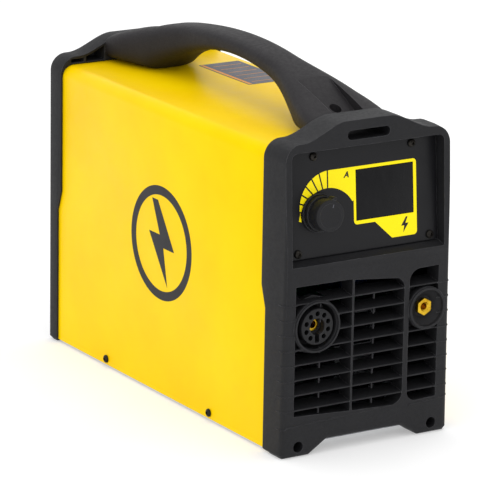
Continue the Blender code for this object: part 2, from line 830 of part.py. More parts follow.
def ramp_outline(end, inwards):
    """Side outline of the sunk ramp at one end of the handle, with the strap's pocket at its foot."""
    start = end + inwards * ramp_length
    height = handle_top(start) + 0.0002
    pocket_end = end + inwards * strap_pocket
    pocket_floor = slot_height - slot_width / 2
    step_top = height - (ramp_length - strap_pocket) * ramp_slope
    return [
        (at(end - inwards * through), pocket_floor), (at(pocket_end), pocket_floor),
        (at(pocket_end + inwards * 0.001), step_top), (at(start), height),
        (at(start), height + 0.012), (at(end - inwards * through), height + 0.012),
    ]


def handle_screw_seats():
    seat = cover_top + 0.0060
    return ((handle_screw_depth, seat), (body_length - handle_rear_screw, seat))


# ---------------------------------------------------------------- screws
def screw_mesh(name, length, material):
    """Pan-head screw along local Z, its seat at the origin and its head above."""
    profile = [
        (0.0, screw_head_height), (screw_head_radius * 0.70, screw_head_height * 0.92),
        (screw_head_radius, screw_head_height * 0.35), (screw_head_radius, 0.0),
        (screw_shank, 0.0), (screw_shank, -length), (0.0, -length),
    ]
    bm = bmesh.new()
    turned(bm, profile, 10)
    bmesh.ops.recalc_face_normals(bm, faces=bm.faces[:])
    mesh = bpy.data.meshes.new(name)
    bm.to_mesh(mesh)
    bm.free()
    mesh.materials.append(material)
    mesh.shade_smooth()
    mesh.set_sharp_from_angle(angle=math.radians(35))
    return mesh


def place_screw(name, mesh, place, direction, parent=None):
    screw = bpy.data.objects.new(name, mesh)
    bpy.context.scene.collection.objects.link(screw)
    screw.matrix_local = towards(direction, place)
    screw.parent = parent
    return screw


def make_screws(materials, fascia):
    long_screw = screw_mesh("m4_screw_long", 0.0105, materials["black_screw"])
    short_screw = screw_mesh("m4_screw_short", 0.0060, materials["black_screw"])
    fascia_screw = screw_mesh("fascia_screw", 0.0055, materials["nickel"])
    number = 1
    for depth in cover_screw_depths:
        for side, label in ((-1, "left"), (1, "right")):
            place = (side * (cover_half_width + gap), at(depth), cover_screw_height)
            place_screw(f"cover_screw_{label}_{number}", short_screw, place, (side, 0, 0))
        number += 1
    for side, label in ((-1, "left"), (1, "right")):
        x = side * foot_screw_side
        front = (x, at(foot_bore_depth - gap), foot_screw_height)
        rear = (x, at(body_length - rear_foot_bore_depth + gap), foot_screw_height)
        place_screw(f"foot_screw_front_{label}", long_screw, front, forwards)
        place_screw(f"foot_screw_rear_{label}", long_screw, rear, backwards)
    for (depth, seat), label in zip(handle_screw_seats(), ("front", "rear")):
        place_screw(f"handle_screw_{label}", long_screw, (0.0, at(depth), seat + gap), (0, 0, 1))
    for number, (x, z) in enumerate(fascia_screw_places(), 1):
        place_screw(f"fascia_screw_{number}", fascia_screw, (x, -gap, z), forwards, fascia)


# ---------------------------------------------------------------- control fascia, in its own tilted frame
def make_fascia_frame():
    """Empty at the middle of the fascia's front face: local X right, local Z up it, local Y into it."""
    frame = bpy.data.objects.new("fascia_frame", None)
    bpy.context.scene.collection.objects.link(frame)
    frame.location = (0.0, at(fascia_depth), fascia_height)
    frame.rotation_euler = (-fascia_tilt, 0.0, 0.0)
    return frame


def fascia_screw_places():
    return [(side * x, z) for x, z in (upper_screw, lower_screw) for side in (-1, 1)]


def make_fascia_plate(materials, fascia):
    bm = bmesh.new()
    outline = rounded_rectangle((0.0, 0.0), fascia_half_width, fascia_half_height, fascia_corner)
    prism(bm, outline, "XZ", 0.0, fascia_sheet)
    plate = add_object("control_fascia", bm, materials["fascia_film"])
    plate.parent = fascia
    holes = bmesh.new()
    for x, z in fascia_screw_places():
        cylinder(holes, (x, z), screw_shank + gap, -through, fascia_sheet + through, sides=10)
    cylinder(holes, knob_centre, bush_radius + gap, -through, fascia_sheet + through, sides=24)
    outline = rounded_rectangle(window_centre, window_width / 2, window_height / 2, 0.0010, 2)
    prism(holes, outline, "XZ", -through, window_sheet)
    outline = rounded_rectangle(window_centre, window_width / 2 - 0.002, window_height / 2 - 0.002, 0.0010, 2)
    prism(holes, outline, "XZ", window_sheet, fascia_sheet + through)
    cut(plate, "fascia_hole_cutter", holes, fascia)


def make_display(materials, fascia):
    bm = bmesh.new()
    outline = rounded_rectangle(window_centre, window_width / 2 - gap, window_height / 2 - gap, 0.0008, 2)
    prism(bm, outline, "XZ", -0.0002, window_sheet - gap)
    window = add_object("display_window", bm, materials["smoked_acrylic"])
    window.parent = fascia

    bm = bmesh.new()
    x, z = window_centre
    start = fascia_sheet + gap
    box(bm, (x - 0.0245, start, z - 0.0170), (x + 0.0245, start + 0.0065, z + 0.0170))
    module = add_object("display_module", bm, materials["ferrite"])
    module.parent = fascia

    bm = bmesh.new()
    start = start + 0.0065 + gap
    half_width, half_height = board_opening[0] - 0.003, board_opening[1] - 0.003
    outline = rounded_rectangle((0.0, 0.0), half_width, half_height, 0.002, 2)
    prism(bm, outline, "XZ", start, start + board_sheet)
    board = add_object("control_board", bm, materials["circuit_board"])
    board.parent = fascia


def make_encoder(materials, fascia):
    """Dial encoder: its body behind the plate, its bush through it, and the nut in front."""
    body = bmesh.new()
    x, z = knob_centre
    start = fascia_sheet + gap
    box(body, (x - 0.0065, start, z - 0.0065), (x + 0.0065, start + 0.0060, z + 0.0065))
    encoder = add_object("encoder_body", body, materials["nickel"])
    encoder.parent = fascia
    bush = bmesh.new()
    cylinder(bush, knob_centre, bush_radius, -encoder_nut_height - 2 * gap, start + 0.001, sides=24)
    join(encoder, "encoder_bush", bush, fascia)
    bore = bmesh.new()
    cylinder(bore, knob_centre, shaft_radius + gap, -0.010, start + 0.0040, sides=24)
    cut(encoder, "encoder_bore", bore, fascia)

    ring = bmesh.new()
    prism(ring, hexagon(knob_centre, 0.0130), "XZ", -encoder_nut_height - gap, -gap)
    nut = add_object("encoder_nut", ring, materials["nickel"])
    nut.parent = fascia
    thread = bmesh.new()
    cylinder(thread, knob_centre, bush_radius + gap, -0.010, through, sides=24)
    cut(nut, "encoder_nut_thread", thread, fascia)

    bm = bmesh.new()
    end = start + 0.0040 - gap
    profile = [(0.0, -end), (shaft_radius, -end), (shaft_radius, 0.0120), (0.0, 0.0120)]
    turned(bm, profile, 24, towards(forwards))
    shaft = add_object("encoder_shaft", bm, materials["nickel"], smooth=35)
    shaft.parent = fascia
    shaft.location = (x, 0.0, z)


def make_knob(materials, fascia):
    """Turned dial knob; its origin is on its axis at the fascia's face."""
    low = gap
    hollow = 0.0080
    hollow_top = encoder_nut_height + 4 * gap
    profile = [
        (shaft_radius + gap, hollow_top), (hollow, hollow_top), (hollow, low), (knob_skirt_radius, low),
        (knob_skirt_radius, knob_skirt_height - 0.0008), (knob_skirt_radius - 0.0008, knob_skirt_height),
        (knob_collar_radius, knob_skirt_height), (knob_collar_radius, knob_collar_height),
        (knob_radius, knob_collar_height), (knob_radius, knob_length - 0.0020),
        (knob_radius - 0.0006, knob_length - 0.0006), (knob_radius - 0.0020, knob_length),
        (0.0, knob_length), (0.0, 0.0120 + gap), (shaft_radius + gap, 0.0120 + gap),
    ]
    bm = bmesh.new()
    closed_turned(bm, profile, 28, towards(forwards))
    knob = add_object("current_knob", bm, materials["knob_plastic"], smooth=35)
    knob.parent = fascia
    knob.location = (knob_centre[0], 0.0, knob_centre[1])
    groove = bmesh.new()
    box(groove, (-0.0009, -knob_length - through, knob_radius - 0.0060),
        (0.0009, -knob_length + 0.0014, knob_radius + through))
    bmesh.ops.rotate(groove, cent=(0, 0, 0), matrix=Matrix.Rotation(knob_pointer_angle, 3, "Y"),
                     verts=groove.verts[:])
    cut(knob, "knob_pointer_cutter", groove, knob)


def closed_turned(bm, profile, sides, matrix):
    """Turn a closed profile that touches the axis along one edge."""
    verts = [bm.verts.new((radius, 0.0, height)) for radius, height in profile]
    edges = []
    for first, second in zip(verts, verts[1:] + verts[:1]):
        if first.co.x > 0.0 or second.co.x > 0.0:
            edges.append(bm.edges.new((first, second)))
    bmesh.ops.spin(
        bm, geom=verts + edges, cent=(0, 0, 0), axis=(0, 0, 1), dvec=(0, 0, 0),
        angle=math.tau, steps=sides, use_merge=True, use_normal_flip=False, use_duplicate=False,
    )
    bmesh.ops.remove_doubles(bm, verts=bm.verts[:], dist=0.000005)
    bmesh.ops.transform(bm, matrix=matrix, verts=bm.verts[:])


# ---------------------------------------------------------------- front sockets
def make_torch_socket(materials):
    centre = (torch_place[0], at(0.0), torch_place[1])
    floor = socket_length - 0.005
    bm = bmesh.new()
    profile = [
        (nipple_radius + gap, floor), (torch_bore_radius, floor), (torch_bore_radius, -socket_proud),
        (torch_flange_radius, -socket_proud), (torch_flange_radius, -gap), (torch_body_radius, -gap),
        (torch_body_radius, socket_length), (nipple_radius + gap, socket_length),
    ]
    turned(bm, profile, 28, towards(backwards, centre))
    add_object("torch_socket", bm, materials["black_plastic"], smooth=35)

    bm = bmesh.new()
    face = torch_insert_face
    cylinder(bm, torch_place, torch_insert_radius, at(face), at(floor - gap), sides=28)
    insert = add_object("torch_insert", bm, materials["knob_plastic"], smooth=35)
    holes = bmesh.new()
    for pin in range(torch_pin_count):
        angle = math.radians(-90 + 36 * (pin + 1))
        place = (torch_place[0] + torch_pin_circle * math.cos(angle),
                 torch_place[1] + torch_pin_circle * math.sin(angle))
        cylinder(holes, place, torch_pin_radius, at(face - through), at(face + 0.009), sides=8)
    cylinder(holes, torch_place, nipple_radius + gap, at(face - through), at(floor + through), sides=24)
    cut(insert, "insert_hole_cutter", holes)
    mouth = bmesh.new()
    cylinder(mouth, torch_place, torch_insert_mouth, at(face - through), at(face + nipple_set_back), sides=24)
    cut(insert, "insert_mouth_cutter", mouth)
    key = bmesh.new()
    x, z = torch_place
    box(key, (x - torch_key_half_width, at(face - through), z - torch_insert_radius + 0.0016),
        (x + torch_key_half_width, at(face + nipple_set_back), z - torch_insert_mouth + 0.0015))
    cut(insert, "insert_key_cutter", key)

    bm = bmesh.new()
    profile = [
        (nipple_bore, face + nipple_set_back), (nipple_radius, face + nipple_set_back),
        (nipple_radius, 0.034), (nipple_bore, 0.034),
    ]
    turned(bm, profile, 24, towards(backwards, centre))
    add_object("torch_nipple", bm, materials["brass"], smooth=35)
    make_lock_nut("torch_lock_nut", torch_place, torch_body_radius, materials)


def make_lock_nut(name, place, thread_radius, materials):
    bm = bmesh.new()
    low, high = at(socket_wall + gap), at(socket_wall + gap + lock_nut_height)
    outer = thread_radius + lock_nut_rim
    prism(bm, polygon(place, outer, 12), "XZ", low, high)
    nut = add_object(name, bm, materials["black_plastic"])
    thread = bmesh.new()
    cylinder(thread, place, thread_radius + gap, low - through, high + through, sides=28)
    cut(nut, name + "_thread", thread)


def make_earth_socket(materials):
    centre = (earth_place[0], at(0.0), earth_place[1])
    floor = 0.0063
    shank = 0.0050
    bm = bmesh.new()
    profile = [
        (shank + gap, floor), (0.0085, floor),
        (earth_dish_radius, -0.0010), (earth_dish_radius, -socket_proud),
        (earth_flange_radius, -socket_proud), (earth_flange_radius, -gap), (earth_body_radius, -gap),
        (earth_body_radius, socket_length), (shank + gap, socket_length),
    ]
    turned(bm, profile, 28, towards(backwards, centre))
    add_object("earth_socket", bm, materials["black_plastic"], smooth=35)

    bm = bmesh.new()
    prism(bm, hexagon(earth_place, earth_hex), "XZ", at(0.0025), at(floor - gap))
    contact = add_object("earth_contact", bm, materials["brass"], smooth=20)
    stud = bmesh.new()
    cylinder(stud, earth_place, shank, at(floor - gap - 0.001), at(0.032), sides=24)
    join(contact, "earth_stud", stud)
    bore = bmesh.new()
    cylinder(bore, earth_place, 0.0026, at(0.0), at(0.012), sides=10)
    cut(contact, "earth_bore", bore)
    make_lock_nut("earth_lock_nut", earth_place, earth_body_radius, materials)


# ---------------------------------------------------------------- rear fittings
def make_mains_switch(materials):
    x, z = switch_place
    pivot_depth = rear_floor + 0.0015
    inner_w, inner_h = switch_half_width + 0.0006, switch_half_height + 0.0016
    body_w, body_h = switch_half_width + 0.0022, switch_half_height + 0.0032
    bm = bmesh.new()
    box(bm, (x - body_w - 0.0025, at(rear_floor + gap), z - body_h - 0.003),
        (x + body_w + 0.0025, at(rear_floor + 0.0022), z + body_h + 0.003))
    body = add_object("mains_switch_body", bm, materials["black_plastic"])
    housing = bmesh.new()
    box(housing, (x - body_w, at(rear_floor - 0.020), z - body_h),
        (x + body_w, at(rear_floor + 0.001), z + body_h))
    join(body, "switch_housing", housing)
    hollow = bmesh.new()
    box(hollow, (x - inner_w, at(rear_floor - 0.018), z - inner_h),
        (x + inner_w, at(rear_floor + 0.010), z + inner_h))
    cut(body, "switch_hollow", hollow)

    h = switch_half_height
    outline = [
        (0.0062, h), (0.0048, 0.0), (0.0062, -h),
        (-0.0010, -h), (-0.0060, -h * 0.4), (-0.0060, h * 0.4), (-0.0010, h),
    ]
    bm = bmesh.new()
    prism(bm, outline, "YZ", -switch_half_width, switch_half_width)
    rocker = add_object("mains_rocker", bm, materials["knob_plastic"])
    rocker.location = (x, at(pivot_depth), z)
    rocker.rotation_euler = (-switch_throw / 2, 0.0, 0.0)


def make_cable_gland(materials):
    """Mains cable gland: threaded body, clamping nut outside, lock nut inside."""
    centre = (gland_place[0], at(rear_floor), gland_place[1])
    body_radius = gland_thread_radius + 0.003
    bm = bmesh.new()
    profile = [
        (gland_bore_radius, -0.012), (gland_thread_radius, -0.012), (gland_thread_radius, gap),
        (body_radius, gap), (body_radius, 0.006), (gland_thread_radius, 0.006),
        (gland_thread_radius, 0.014), (gland_bore_radius, 0.014),
    ]
    turned(bm, profile, 24, towards(backwards, centre))
    add_object("cable_gland", bm, materials["black_plastic"], smooth=35)

    bm = bmesh.new()
    inner = gland_thread_radius + gap
    profile = [
        (inner, 0.0065), (body_radius, 0.0065), (body_radius, 0.0150), (body_radius - 0.002, 0.0185),
        (gland_bore_radius + 0.001, 0.0200), (gland_bore_radius, 0.0193),
        (gland_bore_radius, 0.0145), (inner, 0.0145),
    ]
    turned(bm, profile, 24, towards(backwards, centre))
    add_object("gland_nut", bm, materials["black_plastic"], smooth=35)

    bm = bmesh.new()
    low, high = at(rear_floor - wall - gap - 0.004), at(rear_floor - wall - gap)
    prism(bm, hexagon(gland_place, 0.024), "XZ", low, high)
    nut = add_object("gland_lock_nut", bm, materials["black_plastic"])
    thread = bmesh.new()
    cylinder(thread, gland_place, gland_thread_radius + gap, low - through, high + through)
    cut(nut, "gland_lock_thread", thread)


def make_air_fitting(materials):
    """Brass air inlet: hexagon against the panel, barbed nipple outside, thread into the valve."""
    bm = bmesh.new()
    prism(bm, hexagon(fitting_place, 0.0170), "XZ", at(rear_floor + gap), at(rear_floor + 0.0070))
    fitting = add_object("air_fitting", bm, materials["brass"], smooth=25)
    centre = (fitting_place[0], at(rear_floor), fitting_place[1])
    nose = bmesh.new()
    profile = [
        (0.0, -0.0120), (fitting_thread_radius, -0.0120), (fitting_thread_radius, 0.0010), (0.0046, 0.0020),
    ]
    barb, barbs = 0.0050, 3
    for step in range(barbs):
        base = 0.0080 + step * barb
        profile += [(0.0044, base), (0.0058, base + 0.0008)]
    profile += [(0.0042, fitting_length), (0.0, fitting_length)]
    turned(nose, profile, 16, towards(backwards, centre))
    join(fitting, "fitting_nose", nose)
    bore = bmesh.new()
    start, end = at(rear_floor - 0.020), at(rear_most + through)
    cylinder(bore, fitting_place, fitting_bore_radius, start, end, sides=10)
    cut(fitting, "fitting_bore", bore)


def make_valve(materials):
    """Solenoid valve on the end of the air inlet."""
    x, z = fitting_place
    end = rear_floor - 0.0120 - gap
    start = end - 0.034
    bm = bmesh.new()
    box(bm, (x - 0.011, at(start), z - 0.011), (x + 0.011, at(end), z + 0.011))
    body = add_object("valve_body", bm, materials["brass"])
    stem = bmesh.new()
    cylinder(stem, (x, at(start + 0.017)), 0.0050, z + 0.010, z + 0.040, plane="XY", sides=24)
    join(body, "valve_stem", stem)
    port = bmesh.new()
    cylinder(port, (x, z), 0.0030, at(start - through), at(end + through), sides=10)
    cut(body, "valve_port", port)

    bm = bmesh.new()
    box(bm, (x - 0.012, at(start + 0.004), z + 0.011 + gap), (x + 0.012, at(start + 0.030), z + 0.036))
    coil = add_object("valve_coil", bm, materials["ferrite"])
    hole = bmesh.new()
    cylinder(hole, (x, at(start + 0.017)), 0.0050 + gap, z, z + 0.050, plane="XY", sides=24)
    cut(coil, "coil_hole", hole)
    return start


# ---------------------------------------------------------------- cooling fan
def make_fan(materials):
    rear = body_length - rear_grille_wall - gap
    front = rear - fan_thickness
    half = fan_size / 2
    centre = (0.0, fan_height)
    bm = bmesh.new()
    prism(bm, rounded_rectangle(centre, half, half, 0.004, 3), "XZ", at(front), at(rear))
    frame = add_object("fan_frame", bm, materials["lead_rubber"], smooth=30)
    bore = bmesh.new()
    cylinder(bore, centre, fan_bore_radius, at(front - through), at(rear + through), sides=32)
    for sx in (-1, 1):
        for sz in (-1, 1):
            place = (sx * 0.04125, fan_height + sz * 0.04125)
            cylinder(bore, place, 0.0021, at(front - through), at(rear + through), sides=8)
    cut(frame, "fan_bore_cutter", bore)
    struts = bmesh.new()
    reach = fan_bore_radius + 0.001
    strut = 0.0020
    strut_front = rear - 0.0040
    cross = []
    for step in range(4):
        angle = math.radians(45 + 90 * step)
        c, s = math.cos(angle), math.sin(angle)
        root = fan_hub_radius - 0.002
        for along, across in ((root, -strut), (reach, -strut), (reach, strut), (root, strut)):
            cross.append((along * c - across * s, fan_height + along * s + across * c))
    for step in range(4):
        prism(struts, cross[4 * step:4 * step + 4], "XZ", at(strut_front), at(rear))
    join(frame, "fan_struts", struts)
    plate = bmesh.new()
    cylinder(plate, centre, fan_hub_radius, at(strut_front), at(rear), sides=32)
    join(frame, "fan_motor_plate", plate)
    pin = bmesh.new()
    cylinder(pin, centre, 0.0020, at(front + 0.006), at(strut_front + 0.001), sides=12)
    join(frame, "fan_pin", pin)

    make_fan_rotor(materials, front, strut_front)


def make_fan_rotor(materials, front, strut_front):
    """Hub and slanted blades; the origin is on the shaft's axis."""
    low, high = front + fan_clearance, strut_front - fan_clearance
    bm = bmesh.new()
    cylinder(bm, (0.0, 0.0), fan_hub_radius, low, high, sides=32)
    rotor = add_object("fan_rotor", bm, materials["knob_plastic"], smooth=30)
    blades = bmesh.new()
    tip = fan_bore_radius - fan_clearance
    half_chord, half_thick = 0.0085, 0.0008
    pitch = math.radians(38)
    middle = (low + high) / 2
    for step in range(fan_blades):
        blade = bmesh.new()
        box(blade, (-half_chord, -half_thick, fan_hub_radius - 0.002), (half_chord, half_thick, tip))
        turn = Matrix.Rotation(math.tau * step / fan_blades, 4, "Y") @ Matrix.Rotation(pitch, 4, "Z")
        bmesh.ops.transform(blade, matrix=Matrix.Translation((0, middle, 0)) @ turn, verts=blade.verts[:])
        copy = bpy.data.meshes.new("blade")
        blade.to_mesh(copy)
        blade.free()
        blades.from_mesh(copy)
        bpy.data.meshes.remove(copy)
    join(rotor, "fan_blades", blades, rotor)
    bore = bmesh.new()
    cylinder(bore, (0.0, 0.0), 0.0020 + gap, low + 0.003, high + through, sides=12)
    cut(rotor, "fan_rotor_bore", bore, rotor)
    rotor.location = (0.0, front_y, fan_height)


# ---------------------------------------------------------------- power electronics
def sink_outline(side):
    """Comb outline of a heat sink: a back plate against the side and fins pointing inwards."""
    back, root, tip = 0.0680, 0.0635, 0.0300
    low = cover_foot + 2 * gap + tray_sheet
    high = board_height - gap
    fin = (high - low) / (2 * sink_fins - 1)
    points = [(side * back, low)]
    for step in range(sink_fins):
        base = low + 2 * step * fin
        points += [(side * tip, base), (side * tip, base + fin)]
        if step < sink_fins - 1:
            points += [(side * root, base + fin), (side * root, base + 2 * fin)]
    points.append((side * back, high))
    return points


def make_heat_sinks(materials):
    for side, label in ((-1, "left"), (1, "right")):
        bm = bmesh.new()
        prism(bm, sink_outline(side), "XZ", at(sink_start), at(sink_end))
        add_object(f"heat_sink_{label}", bm, materials["aluminium"])


def make_main_board(materials):
    bm = bmesh.new()
    box(bm, (-board_half_width, at(board_start), board_height),
        (board_half_width, at(board_end), board_height + board_sheet))
    add_object("main_board", bm, materials["circuit_board"])


def make_transformer(materials):
    """Ferrite core with two windows, and the winding round its middle leg."""
    base = board_height + board_sheet + gap
    start, end = 0.150, 0.186
    half, leg, window, height, yoke = 0.031, 0.0085, 0.0115, 0.052, 0.009
    bm = bmesh.new()
    box(bm, (-half, at(start), base), (half, at(end), base + height))
    core = add_object("transformer_core", bm, materials["ferrite"])
    windows = bmesh.new()
    for side in (-1, 1):
        xs = sorted((side * leg, side * (leg + window)))
        box(windows, (xs[0], at(start - through), base + yoke),
            (xs[1], at(end + through), base + height - yoke))
    cut(core, "core_window_cutter", windows)

    bm = bmesh.new()
    reach = 0.010
    outer = leg + window - gap
    outline = rounded_rectangle((0.0, at((start + end) / 2)), outer, (end - start) / 2 + reach, 0.009, 3)
    prism(bm, outline, "XY", base + yoke + gap, base + height - yoke - gap)
    winding = add_object("transformer_winding", bm, materials["copper_winding"], smooth=30)
    hole = bmesh.new()
    box(hole, (-leg - gap, at(start) - gap, base), (leg + gap, at(end) + gap, base + height))
    cut(winding, "winding_hole_cutter", hole)


def make_choke(materials):
    """Toroidal output choke standing on the board."""
    base = board_height + board_sheet + gap
    ring, thickness = 0.017, 0.009
    profile = [(ring + thickness * math.cos(a), thickness * math.sin(a))
               for a in (math.tau * i / 8 for i in range(8))]
    bm = bmesh.new()
    turned(bm, profile, 20, towards(backwards, (0.0, at(0.245), base + ring + thickness)))
    add_object("output_choke", bm, materials["copper_winding"], smooth=60)


def make_capacitors(materials):
    base = board_height + board_sheet + gap
    radius, height = 0.0125, 0.042
    profile = [
        (0.0, height - 0.0008), (radius - 0.002, height - 0.0008), (radius - 0.0012, height),
        (radius, height - 0.0015), (radius, 0.0), (0.0, 0.0),
    ]
    for number in range(3):
        bm = bmesh.new()
        turned(bm, profile, 20, Matrix.Translation((0.048, at(0.095 + 0.030 * number), base)))
        add_object(f"bus_capacitor_{number + 1}", bm, materials["capacitor_sleeve"], smooth=35)


def smooth_route(points, steps):
    """Points along a Catmull-Rom curve through a short route."""
    ends = [2 * points[0] - points[1]] + points + [2 * points[-1] - points[-2]]
    route = []
    for a, b, c, d in zip(ends, ends[1:], ends[2:], ends[3:]):
        for step in range(steps):
            t = step / steps
            route.append(0.5 * (2 * b + (c - a) * t + (2 * a - 5 * b + 4 * c - d) * t * t
                                + (3 * b - a - 3 * c + d) * t ** 3))
    return route + [points[-1]]


def make_tube(name, points, radius, material):
    curve = bpy.data.curves.new(name, "CURVE")
    curve.dimensions = "3D"
    curve.bevel_depth = radius
    curve.bevel_resolution = 2
    curve.use_fill_caps = True
    spline = curve.splines.new("POLY")
    route = smooth_route([Vector(point) for point in points], 4)
    spline.points.add(len(route) - 1)
    for point, place in zip(spline.points, route):
        point.co = (*place, 1.0)
    curve.materials.append(material)
    tube = bpy.data.objects.new(name, curve)
    bpy.context.scene.collection.objects.link(tube)


def make_inner_lines(materials, valve_start):
    """Air hose from the valve to the torch socket, and the lead to the work socket."""
    x, z = fitting_place
    tx, tz = torch_place
    hose = [
        (x, at(valve_start - gap), z), (x - 0.002, at(valve_start - 0.030), z),
        (x - 0.030, at(valve_start - 0.075), z - 0.012), (-0.056, at(0.180), 0.168),
        (-0.056, at(0.110), 0.140), (tx, at(0.065), tz + 0.004), (tx, at(0.0343), tz),
    ]
    make_tube("air_hose", hose, 0.0040, materials["hose_rubber"])
    ex, ez = earth_place
    lead = [
        (ex, at(0.0323), ez), (ex, at(0.046), ez), (ex - 0.004, at(0.062), ez + 0.001),
        (ex - 0.012, at(0.074), ez - 0.001), (ex - 0.014, at(0.077), board_height + board_sheet + 0.005),
        (ex - 0.014, at(0.077), board_height + board_sheet + 2 * gap),
    ]
    make_tube("earth_lead", lead, 0.0035, materials["lead_rubber"])


def main():
    clear_scene()
    materials = make_materials()
    fascia = make_fascia_frame()
    make_front_bezel(materials, fascia)
    make_rear_bezel(materials)
    make_side_cover(materials)
    make_base_tray(materials)
    make_handle_plates(materials)
    make_handle(materials)
    make_fascia_plate(materials, fascia)
    make_display(materials, fascia)
    make_encoder(materials, fascia)
    make_knob(materials, fascia)
    make_screws(materials, fascia)
    make_torch_socket(materials)
    make_earth_socket(materials)
    make_mains_switch(materials)
    make_cable_gland(materials)
    make_air_fitting(materials)
    valve_start = make_valve(materials)
    make_fan(materials)
    make_heat_sinks(materials)
    make_main_board(materials)
    make_transformer(materials)
    make_choke(materials)
    make_capacitors(materials)
    make_inner_lines(materials, valve_start)
    bpy.context.view_layer.update()


main()
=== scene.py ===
import math

import bmesh
import bpy
from mathutils import Matrix, Vector


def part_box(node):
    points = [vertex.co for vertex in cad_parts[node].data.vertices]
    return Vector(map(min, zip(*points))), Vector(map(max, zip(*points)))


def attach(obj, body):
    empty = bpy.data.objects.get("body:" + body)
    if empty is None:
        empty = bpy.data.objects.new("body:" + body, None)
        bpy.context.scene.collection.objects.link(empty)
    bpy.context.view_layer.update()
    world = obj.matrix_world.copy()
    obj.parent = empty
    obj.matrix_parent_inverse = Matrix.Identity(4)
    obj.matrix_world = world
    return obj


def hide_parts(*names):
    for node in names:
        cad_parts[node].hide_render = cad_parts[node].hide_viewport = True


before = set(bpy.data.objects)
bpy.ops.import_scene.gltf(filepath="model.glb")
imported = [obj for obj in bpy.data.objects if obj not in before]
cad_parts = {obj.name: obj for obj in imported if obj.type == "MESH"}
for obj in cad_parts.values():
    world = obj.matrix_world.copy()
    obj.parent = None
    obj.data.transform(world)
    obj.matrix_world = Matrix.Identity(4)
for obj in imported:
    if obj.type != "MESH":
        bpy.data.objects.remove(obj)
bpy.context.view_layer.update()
mm = 0.001
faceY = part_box("front_bezel")[0].y  # plane of the front grille
bpy.context.scene.view_settings.view_transform = "Standard"
print("frame loaded")


# outlines are lists of (a, b) points in millimetres, and depths are millimetres behind the front grille
def hexColour(text):
    parts = [int(text[i:i + 2], 16) / 255 for i in (1, 3, 5)]
    return [p / 12.92 if p <= 0.04045 else ((p + 0.055) / 1.055) ** 2.4 for p in parts] + [1.0]


def arcPoints(centre, radius, start, end, steps):
    points = []
    for step in range(steps + 1):
        angle = math.radians(start + (end - start) * step / steps)
        points.append((centre[0] + radius * math.cos(angle), centre[1] + radius * math.sin(angle)))
    return points


# each corner of a closed outline becomes an arc; a third number on a point is its own radius
def rounded(points, radius, steps=5):
    result = []
    for i, point in enumerate(points):
        here = Vector(point[:2])
        size = point[2] if len(point) == 3 else radius
        if size == 0:
            result.append(tuple(here))
            continue
        toLast = Vector(points[i - 1][:2]) - here
        toNext = Vector(points[(i + 1) % len(points)][:2]) - here
        half = toLast.angle(toNext) / 2
        reach = min(size / math.tan(half), 0.49 * toLast.length, 0.49 * toNext.length)
        radiusHere = reach * math.tan(half)
        middle = (toLast.normalized() + toNext.normalized()).normalized()
        centre = here + middle * (radiusHere / math.sin(half))
        first = here + toLast.normalized() * reach - centre
        last = here + toNext.normalized() * reach - centre
        start = math.atan2(first.y, first.x)
        turn = (math.atan2(last.y, last.x) - start + math.pi) % math.tau - math.pi
        for step in range(steps + 1):
            angle = start + turn * step / steps
            result.append((centre.x + radiusHere * math.cos(angle), centre.y + radiusHere * math.sin(angle)))
    return result


def rectangle(left, low, right, high):
    return [(left, low), (right, low), (right, high), (left, high)]


def circle(centre, radius, sides=48):
    return arcPoints(centre, radius, 0, 360, sides)[:-1]


planes = {"XZ": (0, 2, 1), "YZ": (1, 2, 0), "XY": (0, 1, 2)}


# an outline pushed along the third axis; soft rounds the edges of both ends
def prism(bm, outline, plane, low, high, soft=0.0, segments=2):
    first, second, third = planes[plane]
    corners = []
    for a, b in outline:
        place = [0.0, 0.0, 0.0]
        place[first], place[second], place[third] = a * mm, b * mm, low * mm
        corners.append(bm.verts.new(place))
    face = bm.faces.new(corners)
    grown = bmesh.ops.extrude_face_region(bm, geom=[face])
    moved = [part for part in grown["geom"] if isinstance(part, bmesh.types.BMVert)]
    shift = Vector((0.0, 0.0, 0.0))
    shift[third] = (high - low) * mm
    bmesh.ops.translate(bm, vec=shift, verts=moved)
    if soft:
        ends = (set(corners), set(moved))
        touching = dict.fromkeys(e for v in corners + moved for e in v.link_edges)
        edges = [e for e in touching if any(set(e.verts) <= end for end in ends)]
        bmesh.ops.bevel(bm, geom=edges, offset=soft * mm, offset_type="OFFSET", segments=segments,
                        profile=0.5, affect="EDGES", clamp_overlap=False, material=-1)
    return moved


# a closed (radius, height) profile spun about the local Z axis, then placed by a matrix
def spun(bm, profile, matrix, steps=64):
    fresh = bmesh.new()
    verts = [fresh.verts.new((r * mm, 0.0, h * mm)) for r, h in profile]
    pairs = zip(verts, verts[1:] + verts[:1])
    edges = [fresh.edges.new(pair) for pair in pairs if pair[0].co.x > 0 or pair[1].co.x > 0]
    bmesh.ops.spin(fresh, geom=verts + edges, cent=(0, 0, 0), axis=(0, 0, 1), dvec=(0, 0, 0),
                   angle=math.tau, steps=steps, use_merge=True, use_normal_flip=False, use_duplicate=False)
    bmesh.ops.remove_doubles(fresh, verts=fresh.verts[:], dist=0.000002)
    bmesh.ops.transform(fresh, matrix=matrix, verts=fresh.verts[:])
    bmesh.ops.recalc_face_normals(fresh, faces=fresh.faces[:])
    addTo(bm, fresh)


def addTo(bm, other):
    mesh = bpy.data.meshes.new("part")
    other.to_mesh(mesh)
    other.free()
    bm.from_mesh(mesh)
    bpy.data.meshes.remove(mesh)


def facing(direction, place):
    turn = Vector((0, 0, 1)).rotation_difference(Vector(direction)).to_matrix().to_4x4()
    return Matrix.Translation(Vector(place)) @ turn


